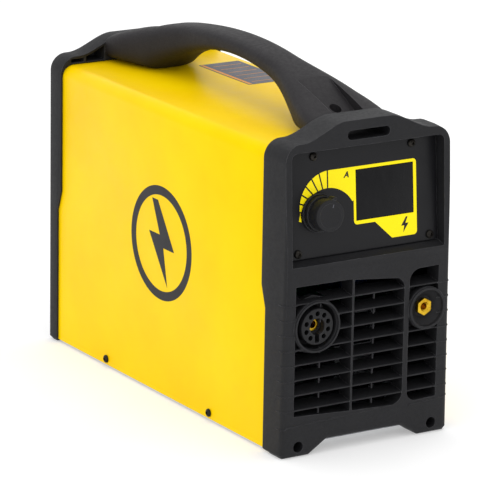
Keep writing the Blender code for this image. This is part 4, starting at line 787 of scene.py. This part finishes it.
def makeCoverPrints():
    s = coverShape
    middle = (depth(s["markDepth"]), s["markZ"])
    for side, label in ((-1, "Left"), (1, "Right")):
        ends = sorted((side * (s["half"] + 0.01), side * (s["half"] + s["ink"])))
        mark = meshObject("powerMark" + label, block(circle(middle, s["markRadius"], 96), "YZ", *ends))
        hole = circle(middle, s["markRadius"] - s["markRing"], 96)
        carve(mark, block(hole, "YZ", ends[0] - 1, ends[1] + 1))
        bm = block(boltOutline(*middle, s["boltSize"]), "YZ", *ends)
        bm.from_mesh(mark.data)
        bm.to_mesh(mark.data)
        bm.free()
        dress(mark, inks["black"])
        place(mark, "case", "fascia_film")

    left, near = s["labelLow"]
    right, far = s["labelHigh"]
    film = s["top"] + s["film"]
    box = rounded(rectangle(left, depth(near), right, depth(far)), 1.5, 4)
    # the label is a black label drawn in dark grey: its black is lightened by a painted sheen
    label = meshObject("ratingLabel", block(box, "XY", s["top"] + 0.01, film), inks["grey"])
    place(label, "case", "fascia_film")
    stripe = rectangle(left + 1, depth(near + 1), left + s["stripe"], depth(far - 1))
    bm = block(rounded(stripe, 0.5, 3), "XY", film, film + 0.04)
    for row in range(6):
        low = near + 8 + row * 12
        prism(bm, rectangle(left + 8, depth(low), right - 4, depth(low + 0.7)), "XY", film, film + 0.04)
    place(meshObject("ratingLabelLines", bm, inks["orange"]), "case", "fascia_film")


makeCover()
makeCoverPrints()
print("cover made")

handleShape = {
    "front": 32.2, "rear": 346.0, "crest": 289.85, "crestDepth": 196.0, "topRadius": 449.6,
    "archTop": 275.5, "archDepth": 182.0, "archRadius": 215.0, "gripHalf": 15.5, "endHalf": 36.0,
    "flareFront": 100.0, "flareRear": 105.0, "roundness": 3.4, "sections": 110, "points": 48,
    "rampHalf": 14.4, "rampLength": 54.8, "rampSlope": 0.508, "pocket": 8.5, "pocketFloor": 245.55,
    "screwDepths": (52.4, 334.5), "seat": 246.6, "bore": 4.8,
}


def easeIn(value):
    value = min(max(value, 0.0), 1.0)
    return value * value * (3 - 2 * value)


def handleTop(at):
    s = handleShape
    run = at - s["crestDepth"]
    return s["crest"] - (s["topRadius"] - math.sqrt(s["topRadius"] ** 2 - run * run))


# one cross-section of the handle, a superellipse that widens towards both ends
def handleRing(at):
    s = handleShape
    run = min(abs(at - s["archDepth"]), s["archRadius"] * 0.95)
    low = s["archTop"] - (s["archRadius"] - math.sqrt(s["archRadius"] ** 2 - run * run))
    low = max(low, coverShape["top"] + 0.3)
    high = handleTop(at)
    flare = 1 - min(easeIn((at - s["front"]) / s["flareFront"]), easeIn((s["rear"] - at) / s["flareRear"]))
    wide = s["gripHalf"] + (s["endHalf"] - s["gripHalf"]) * flare
    ring = []
    for step in range(s["points"]):
        angle = math.tau * (step + 0.5) / s["points"]
        c, v = math.cos(angle), math.sin(angle)
        x = wide * math.copysign(abs(c) ** (2 / s["roundness"]), c)
        z = (high - low) / 2 * math.copysign(abs(v) ** (2 / s["roundness"]), v)
        ring.append((x * mm, depth(at) * mm, ((low + high) / 2 + z) * mm))
    return ring


def makeHandle():
    s = handleShape
    bm = bmesh.new()
    count = s["sections"]
    swept(bm, [handleRing(s["front"] + (s["rear"] - s["front"]) * i / count) for i in range(count + 1)])
    handle = meshObject("carryHandle", bm)
    ramps, bores = bmesh.new(), bmesh.new()
    for end, inwards in ((s["front"], 1), (s["rear"], -1)):
        start = end + inwards * s["rampLength"]
        height = handleTop(start) + 0.2
        step = height - (s["rampLength"] - s["pocket"]) * s["rampSlope"]
        outside, pocket = depth(end - inwards * 2), end + inwards * s["pocket"]
        outline = [
            (outside, s["pocketFloor"]), (depth(pocket), s["pocketFloor"]), (depth(pocket + inwards), step),
            (depth(start), height), (depth(start), height + 12), (outside, height + 12),
        ]
        prism(ramps, outline, "YZ", -s["rampHalf"], s["rampHalf"])
    for screw in s["screwDepths"]:
        prism(bores, circle((0, depth(screw)), s["bore"], 36), "XY", s["seat"], handleTop(screw) + 4)
    carve(handle, ramps, bores)
    dress(handle, finishes["grip_plastic"], 40)
    place(handle, "case", "grip_plastic", "carry_handle")


makeHandle()
print("handle made")

printShape = {
    "ink": 0.10, "outerCentre": (-30.5, -3.4), "outerRadius": 27.8,
    "innerCentre": (-32.9, -15.65), "innerRadius": 26.4,
    "rayCentre": (-32.5, -7.8), "rayGap": 1.2, "rayStep": 14.0, "rayCount": 7,
    "letterPlace": (-17.6, 17.0), "letterHeight": 6.4, "bolt": (38.0, -26.6, 10.0),
}


def makeFascia():
    f = fasciaShape
    outline = rounded(around(0, 0, f["halfWidth"], f["halfHeight"]), f["corner"], 6)
    plate = meshObject("controlFascia", tilted(block(outline, "XZ", 0, f["sheet"], 0.45, 3)))
    holes = bmesh.new()
    for x, z in f["screws"]:
        prism(holes, circle((x, z), 2.2, 24), "XZ", -2, f["sheet"] + 2)
    prism(holes, circle((f["knobX"], f["knobZ"]), 4.8, 32), "XZ", -2, f["sheet"] + 2)
    x, z, wide, tall = f["windowX"], f["windowZ"], f["windowWidth"] / 2, f["windowHeight"] / 2
    prism(holes, rounded(around(x, z, wide, tall), 1, 3), "XZ", -2, 1.6)
    prism(holes, rounded(around(x, z, wide - 2, tall - 2), 1, 3), "XZ", 1.5, f["sheet"] + 2)
    carve(plate, tilted(holes))
    dress(plate, finishes["fascia_film"], 40)
    place(plate, "case", "fascia_film", "control_fascia")

    pane = block(rounded(around(x, z, wide - 0.3, tall - 0.3), 0.8, 4), "XZ", -0.2, 1.3, 0.18, 2)
    window = meshObject("displayWindow", tilted(pane), finishes["smoked_acrylic"])
    place(window, "case", "smoked_acrylic", "display_window")


# the yellow field round the window and the crescent of wedges round the knob
def makeFasciaPrint():
    f, s = fasciaShape, printShape
    face = -s["ink"]
    outline = [(-9.0, -1.7)]
    outline += arcPoints(s["innerCentre"], s["innerRadius"], 31, 172, 30)
    outline += arcPoints(s["outerCentre"], s["outerRadius"], 200, 90, 30)
    outline += rounded([(20.0, 24.4, 0), (49.2, 24.4, 3), (49.2, -35.4, 3), (25.8, -35.4, 0.6),
                        (10.3, -20.9, 0.6), (-9.0, -20.9, 3), (-9.0, -10.0, 0)], 0, 6)
    field = meshObject("fasciaYellowPrint", tilted(block(outline, "XZ", face, -0.01)))
    window = around(f["windowX"], f["windowZ"], f["windowWidth"] / 2, f["windowHeight"] / 2)
    rays = bmesh.new()
    for step in range(s["rayCount"]):
        angle = math.radians(90 + s["rayStep"] * step)
        along = Vector((math.cos(angle), math.sin(angle)))
        across = Vector((-along.y, along.x)) * s["rayGap"] / 2
        middle = Vector(s["rayCentre"])
        start, end = middle + along * 9, middle + along * 40
        ray = (start - across, end - across, end + across, start + across)
        prism(rays, [tuple(p) for p in ray], "XZ", -1, 1)
    carve(field, tilted(block(window, "XZ", -1, 1)), tilted(rays))
    dress(field, inks["yellow"])
    place(field, "case", "yellow_paint")

    text = bpy.data.curves.new("unitLetter", "FONT")
    text.body = "A"
    text.size = s["letterHeight"] * mm
    text.extrude = 0.03 * mm
    text.offset = 0.25 * mm
    text.shear = 0.25
    letter = bpy.data.objects.new("unitLetter", text)
    bpy.context.scene.collection.objects.link(letter)
    shown = letter.evaluated_get(bpy.context.evaluated_depsgraph_get())
    bm = bmesh.new()
    mesh = bpy.data.meshes.new_from_object(shown)
    bm.from_mesh(mesh)
    bpy.data.objects.remove(letter)
    x, z = s["letterPlace"]
    lay = Matrix.Translation((x * mm, (face - 0.03) * mm, z * mm)) @ Matrix.Rotation(math.pi / 2, 4, "X")
    carried(bm, onFascia @ lay)
    addTo(bm, tilted(block(boltOutline(*s["bolt"]), "XZ", face - 0.05, face)))
    place(meshObject("fasciaBlackPrint", bm, inks["black"]), "case", "fascia_film")


makeFascia()
makeFasciaPrint()
print("fascia made")

knobShape = {
    "length": 17.9, "radius": 12.5, "skirt": 15.4, "skirtHeight": 2.6, "collar": 14.0, "collarHeight": 6.5,
    "pointer": 20.0, "beakHalf": 1.5, "beakReach": 15.0, "beakStart": 9.5, "steps": 96,
}


# a skirt, a low collar and a grip, with a beak on the grip that points at the scale
def makeKnob():
    s = knobShape
    where = onFascia @ Matrix.Translation((fasciaShape["knobX"] * mm, 0, fasciaShape["knobZ"] * mm))
    outwards = where @ facing((0, -1, 0), (0, 0, 0))
    skirt, collar, grip = s["skirt"], s["collar"], s["radius"]
    low, middle, top = s["skirtHeight"], s["collarHeight"], s["length"]
    profile = rounded([
        (3.3, 3.2, 0), (8.0, 3.2, 0), (8.0, 0.3, 0), (skirt, 0.3, 0.2), (skirt, low, 0.7),
        (collar + 0.3, low, 0.2), (collar + 0.3, low - 0.6, 0), (collar, low - 0.6, 0), (collar, middle, 0.7),
        (grip + 0.2, middle, 0.2), (grip + 0.2, middle - 0.5, 0), (grip - 0.1, middle - 0.5, 0),
        (grip, top, 1.3),
        (grip - 2.6, top, 0.3), (grip - 3.0, top - 0.4, 0.3), (0, top - 0.4, 0), (0, 12.3, 0), (3.3, 12.3, 0),
    ], 0, 4)
    bm = bmesh.new()
    spun(bm, profile, outwards, s["steps"])
    half, reach, root = s["beakHalf"], s["beakReach"], grip - 1.2
    outline = rounded([(-half - 1.2, root, 0), (half + 0.4, root, 0), (half, reach, 0.5),
                       (-half + 0.9, reach - 0.4, 0.9)], 0, 4)
    turned = where @ Matrix.Rotation(math.radians(s["pointer"]), 4, "Y")
    addTo(bm, carried(block(outline, "XZ", -top + 1.0, -s["beakStart"], 0.35), turned))
    place(meshObject("currentKnob", bm, finishes["knob_plastic"]), "knob", "knob_plastic", "current_knob")
    line = rounded(rectangle(-0.3, grip - 6.0, 0.3, grip - 3.4), 0.25, 3)
    pointer = carried(block(line, "XZ", -top + 0.36, -top + 0.7), turned)
    place(meshObject("knobPointer", pointer, inks["grey"]), "knob", "knob_plastic")


makeKnob()
print("knob made")

socketShape = {
    "torchFlange": 20.4, "torchBore": 18.2, "torchBody": 19.6, "proud": 2.0, "length": 20.0,
    "insert": 14.4, "insertFace": -0.8, "pinCircle": 10.3, "pin": 2.1, "pinCount": 9, "keyHalf": 2.2,
    "mouth": 6.8, "nipple": 5.2, "nippleBore": 3.0, "nippleFace": 6.2, "nippleEnd": 34.0,
    "floor": 15.0, "studEnd": 32.0,
    "workFlange": 16.65, "workBody": 15.8, "dish": 14.8, "dishFloor": 6.3, "hexAcross": 12.5,
}


def makeTorchSocket():
    s = socketShape
    x, z = frontShape["torch"]
    inwards = facing((0, 1, 0), (x * mm, faceY, z * mm))
    bm = bmesh.new()
    bore, flange, body, lip, floor = s["torchBore"], s["torchFlange"], s["torchBody"], -s["proud"], s["floor"]
    profile = rounded([
        (5.5, floor, 0), (bore, floor, 0), (bore, 1.0, 0.4), (bore + 0.7, 0.2, 0.4), (bore + 0.7, lip, 0.45),
        (flange, lip, 0.6), (flange, -0.3, 0), (body, -0.3, 0), (body, s["length"], 0), (5.5, s["length"], 0),
    ], 0, 4)
    spun(bm, profile, inwards, 96)
    place(meshObject("torchSocket", bm, finishes["black_plastic"]), "case", "black_plastic", "torch_socket")

    disc = block(circle((x, z), s["insert"], 96), "XZ", depth(s["insertFace"]), depth(floor - 0.3), 0.6, 3)
    insert = meshObject("torchInsert", disc)
    holes = bmesh.new()
    for pin in range(s["pinCount"]):
        angle = math.radians(-90 + 360 / (s["pinCount"] + 1) * (pin + 1))
        middle = (x + s["pinCircle"] * math.cos(angle), z + s["pinCircle"] * math.sin(angle))
        prism(holes, circle(middle, s["pin"], 28), "XZ", depth(-3), depth(s["insertFace"] + 9))
    prism(holes, circle((x, z), s["mouth"], 48), "XZ", depth(-3), depth(s["nippleFace"]))
    slot = rectangle(x - s["keyHalf"], z - s["insert"] + 1.6, x + s["keyHalf"], z)
    key = block(slot, "XZ", depth(-3), depth(s["nippleFace"] - 0.2))
    carve(insert, holes, key, block(circle((x, z), s["nipple"] + 0.3, 48), "XZ", depth(-3), depth(floor + 2)))
    dress(insert, finishes["knob_plastic"])
    place(insert, "case", "knob_plastic", "torch_insert")

    bm = bmesh.new()
    bore, wide, face, end = s["nippleBore"], s["nipple"], s["nippleFace"], s["nippleEnd"]
    profile = [(bore, face, 0.3), (wide, face, 0.5), (wide, end, 0), (bore, end, 0)]
    spun(bm, rounded(profile, 0, 4), inwards, 64)
    place(meshObject("torchNipple", bm, finishes["brass"]), "case", "brass", "torch_nipple")


def makeWorkSocket():
    s = socketShape
    x, z = frontShape["work"]
    inwards = facing((0, 1, 0), (x * mm, faceY, z * mm))
    bm = bmesh.new()
    dish, flange, body, lip, floor = s["dish"], s["workFlange"], s["workBody"], -s["proud"], s["dishFloor"]
    profile = rounded([
        (5.3, floor, 0), (8.5, floor, 1.2), (dish - 0.6, 0.8, 0.6), (dish, lip, 0.5), (flange, lip, 0.6),
        (flange, -0.3, 0), (body, -0.3, 0), (body, s["length"], 0), (5.3, s["length"], 0),
    ], 0, 5)
    spun(bm, profile, inwards, 96)
    place(meshObject("workSocket", bm, finishes["black_plastic"]), "case", "black_plastic", "earth_socket")

    hexagon = arcPoints((x, z), s["hexAcross"] / math.sqrt(3), 30, 390, 6)[:-1]
    nut = block(rounded(hexagon, 1.4, 4), "XZ", depth(2.5), depth(floor - 0.3), 0.5, 2)
    contact = meshObject("workContact", nut)
    stud = block(circle((x, z), 5.0, 48), "XZ", depth(5.0), depth(s["studEnd"]))
    mouth = bmesh.new()
    start = facing((0, 1, 0), (x * mm, depth(2.45) * mm, z * mm))
    spun(mouth, [(0, 0), (4.0, 0), (2.6, 1.2), (2.6, 1.3), (0, 1.3)], start)
    carve(contact, ("UNION", stud), mouth, block(circle((x, z), 2.6, 32), "XZ", depth(2), depth(12)))
    dress(contact, finishes["brass"])
    place(contact, "case", "brass", "earth_contact")


makeTorchSocket()
makeWorkSocket()
print("sockets made")

screwShape = {"head": 3.3, "height": 2.2, "shank": 1.9, "socket": 1.25, "socketDepth": 1.3}


# button-head socket screw; its seat is at the matrix's origin and its head points along local Z
def screwPiece(name, matrix, length, node):
    s = screwShape
    bm = bmesh.new()
    dome = [(s["head"] * math.cos(t), s["height"] * (0.25 + 0.75 * math.sin(t)))
            for t in (math.radians(a) for a in (0, 15, 30, 45, 60))]
    profile = [(0, -length), (s["shank"], -length), (s["shank"], 0), (s["head"], 0)] + dome + [
        (s["head"] * 0.45, s["height"]), (0, s["height"])]
    spun(bm, profile, matrix, 40)
    screw = meshObject(name, bm)
    hexagon = arcPoints((0, 0), s["socket"] * 2 / math.sqrt(3), 0, 360, 6)[:-1]
    carve(screw, carried(block(hexagon, "XY", s["height"] - s["socketDepth"], s["height"] + 1), matrix))
    dress(screw, finishes["black_screw"])
    place(screw, "case", "black_screw", node)


def makeScrews():
    s = coverShape
    for row, at in enumerate(s["screwDepths"], 1):
        for side, label in ((-1, "left"), (1, "right")):
            seat = (side * (s["half"] + 0.3) * mm, depth(at) * mm, s["screwZ"] * mm)
            screwPiece(f"coverScrew{label.title()}{row}", facing((side, 0, 0), seat), 6.0,
                       f"cover_screw_{label}_{row}")
    x, z = bezelShape["footScrewX"], bezelShape["footScrewZ"]
    rearSeat = rearShape["length"] - rearShape["boreSeat"]
    for end, outwards, at in (("front", -1, frontShape["boreSeat"] - 0.3), ("rear", 1, rearSeat + 0.3)):
        for side, label in ((-1, "left"), (1, "right")):
            seat = (side * x * mm, depth(at) * mm, z * mm)
            screwPiece(f"footScrew{end.title()}{label.title()}", facing((0, outwards, 0), seat), 10.5,
                       f"foot_screw_{end}_{label}")
    for end, at in zip(("front", "rear"), handleShape["screwDepths"]):
        seat = (0, depth(at) * mm, (handleShape["seat"] + 0.3) * mm)
        screwPiece(f"handleScrew{end.title()}", facing((0, 0, 1), seat), 10.5, f"handle_screw_{end}")
    for number, (x, z) in enumerate(fasciaShape["screws"], 1):
        matrix = onFascia @ facing((0, -1, 0), (x * mm, -0.3 * mm, z * mm))
        screwPiece(f"fasciaScrew{number}", matrix, 5.5, f"fascia_screw_{number}")


makeScrews()
print("screws made")

rearFittings = {
    "panel": 357.5, "switchBezel": (13.2, 15.8), "switchHousing": (10.7, 12.8), "switchHollow": (9.1, 11.2),
    "rockerHalf": (8.5, 9.6), "throw": 22.0, "mark": (5.4, 5.75),
    "glandBody": 12.0, "glandThread": 9.0, "glandBore": 5.0, "ridges": 24,
    "hexAcross": 17.0, "barbStart": 8.0, "barbPitch": 5.0, "tip": 24.0,
}


def makeSwitch():
    s = rearFittings
    x, z = rearShape["switch"]
    panel = s["panel"]
    flange = rounded(around(x, z, *s["switchBezel"]), 1.5, 5)
    body = meshObject("mainsSwitchBody", block(flange, "XZ", depth(panel + 0.3), depth(panel + 2.2), 0.5, 3))
    housing = block(around(x, z, *s["switchHousing"]), "XZ", depth(panel - 20), depth(panel + 1))
    hollow = block(around(x, z, *s["switchHollow"]), "XZ", depth(panel - 18), depth(panel + 10))
    carve(body, ("UNION", housing), hollow)
    dress(body, finishes["black_plastic"])
    place(body, "case", "black_plastic", "mains_switch_body")

    half, height = s["rockerHalf"]
    outline = rounded([
        (6.2, height, 0.6), (-1.0, height, 0.8), (-6.0, height * 0.4, 0.6), (-6.0, -height * 0.4, 0.6),
        (-1.0, -height, 0.8), (6.2, -height, 0.6), (4.8, 0, 14.0),
    ], 0, 6)
    pivot = Matrix.Translation((x * mm, depth(panel + 1.5) * mm, z * mm))
    turned = pivot @ Matrix.Rotation(math.radians(-s["throw"] / 2), 4, "X")
    rocker = carried(block(outline, "YZ", -half, half, 0.4, 2), turned)
    place(meshObject("mainsRocker", rocker, finishes["knob_plastic"]), "rocker", "knob_plastic", "mains_rocker")

    marks = carried(block(rectangle(-0.45, 4.0, 0.45, 7.4), "XZ", *s["mark"]), turned)
    off = meshObject("rockerMarks", carried(block(circle((0, -5.6), 1.9, 28), "XZ", *s["mark"]), turned))
    carve(off, carried(block(circle((0, -5.6), 1.1, 24), "XZ", 4, 8), turned))
    marks.from_mesh(off.data)
    marks.to_mesh(off.data)
    marks.free()
    dress(off, inks["white"])
    place(off, "rocker", "knob_plastic")


def makeGland():
    s = rearFittings
    x, z = rearShape["gland"]
    outwards = facing((0, 1, 0), (x * mm, depth(s["panel"]) * mm, z * mm))
    bm = bmesh.new()
    body, thread, bore = s["glandBody"], s["glandThread"], s["glandBore"]
    spun(bm, rounded([(bore, -12, 0), (thread, -12, 0.5), (thread, 0.3, 0), (body, 0.3, 0.3), (body, 6, 0.8),
                      (thread, 6, 0), (thread, 14, 0), (bore, 14, 0)], 0, 4), outwards, 72)
    place(meshObject("cableGland", bm, finishes["black_plastic"]), "case", "black_plastic", "cable_gland")

    bm = bmesh.new()
    profile = rounded([
        (thread + 0.3, 6.5, 0), (body - 0.5, 6.5, 0.3), (body - 0.5, 15, 0.8), (body - 2, 18.5, 0.8),
        (bore + 1, 20, 0.4), (bore, 19.3, 0.3), (bore, 14.5, 0), (thread + 0.3, 14.5, 0),
    ], 0, 4)
    spun(bm, profile, outwards, 72)
    for ridge in range(s["ridges"]):
        turned = outwards @ Matrix.Rotation(math.tau * ridge / s["ridges"], 4, "Z")
        addTo(bm, carried(block(rectangle(body - 1.2, -0.5, body, 0.5), "XY", 7.0, 14.6, 0.2), turned))
    place(meshObject("glandNut", bm, finishes["black_plastic"]), "case", "black_plastic", "gland_nut")


def makeAirFitting():
    s = rearFittings
    x, z = rearShape["fitting"]
    outwards = facing((0, 1, 0), (x * mm, depth(s["panel"]) * mm, z * mm))
    hexagon = arcPoints((x, z), s["hexAcross"] / math.sqrt(3), 0, 360, 6)[:-1]
    nut = block(rounded(hexagon, 1.4, 3), "XZ", depth(s["panel"] + 0.3), depth(s["panel"] + 7), 0.5, 2)
    fitting = meshObject("airFitting", nut)
    profile = [(0, -12, 0), (6.5, -12, 0.5), (6.5, 1, 0), (4.6, 2, 0)]
    for step in range(3):
        base = s["barbStart"] + step * s["barbPitch"]
        profile += [(4.4, base, 0.2), (5.8, base + 0.8, 0.25)]
    profile += [(4.2, s["tip"], 0.4), (0, s["tip"], 0)]
    nose = bmesh.new()
    spun(nose, rounded(profile, 0, 3), outwards, 56)
    bore = block(circle((x, z), 2.4, 32), "XZ", depth(s["panel"] - 20), depth(s["panel"] + s["tip"] + 2))
    carve(fitting, ("UNION", nose), bore)
    dress(fitting, finishes["brass"])
    place(fitting, "case", "brass", "air_fitting")


makeSwitch()
makeGland()
makeAirFitting()
print("rear fittings made")

studio = {
    "lookAt": (-0.0683, -0.1165, 0.1499), "distance": 2.8316, "azimuth": -32.273, "elevation": 15.758,
    "roll": 0.997, "lens": 263.5, "sensor": 36.0, "world": 1.0, "floorGlow": 0.35,
    "lamps": {
        "leftSoftbox": ((-1.6, -0.9, 1.5), 1.4, 5.0),
        "frontSoftbox": ((0.7, -2.2, 0.9), 1.2, 1.5),
        "topSoftbox": ((0.1, 0.2, 2.2), 1.6, 9.0),
    },
}


def makeStudio():
    s = studio
    bm = bmesh.new()
    bmesh.ops.create_grid(bm, x_segments=1, y_segments=1, size=6.0)
    floor = meshObject("studioFloor", bm)
    material, tree, shader, where = startMaterial("paleFloor", {
        "Roughness": 0.9, "Specular IOR Level": 0.1,
        "Emission Color": hexColour("#FFFFFF"), "Emission Strength": s["floorGlow"],
    })
    tree.links.new(rampNode(tree, noiseNode(tree, where, 120.0), [(0.3, "#D8D8D8"), (0.7, "#DEDEDE")]),
                   shader.inputs["Base Color"])
    dress(floor, material)

    world = bpy.data.worlds.new("studioWorld")
    world.use_nodes = True
    world.node_tree.nodes["Background"].inputs["Color"].default_value = hexColour("#FFFFFF")
    world.node_tree.nodes["Background"].inputs["Strength"].default_value = s["world"]
    bpy.context.scene.world = world

    target = Vector((0.0, 0.0, 0.13))
    for name, (spot, size, power) in s["lamps"].items():
        lamp = bpy.data.lights.new(name, "AREA")
        lamp.size = size
        lamp.energy = power
        obj = bpy.data.objects.new(name, lamp)
        obj.location = spot
        obj.rotation_euler = (target - Vector(spot)).to_track_quat("-Z", "Y").to_euler()
        bpy.context.scene.collection.objects.link(obj)

    turn, rise, roll = (math.radians(s[key]) for key in ("azimuth", "elevation", "roll"))
    back = Vector((math.sin(turn) * math.cos(rise), -math.cos(turn) * math.cos(rise), math.sin(rise)))
    right = (-back).cross(Vector((0, 0, 1))).normalized()
    upwards = right.cross(-back)
    across = math.cos(roll) * right + math.sin(roll) * upwards
    above = -math.sin(roll) * right + math.cos(roll) * upwards
    lens = bpy.data.cameras.new("studioCamera")
    lens.lens = s["lens"]
    lens.sensor_width = s["sensor"]
    camera = bpy.data.objects.new("studioCamera", lens)
    camera.matrix_world = Matrix((across, above, back)).transposed().to_4x4()
    camera.location = Vector(s["lookAt"]) + back * s["distance"]
    bpy.context.scene.collection.objects.link(camera)
    bpy.context.scene.camera = camera


makeStudio()
print("studio made")
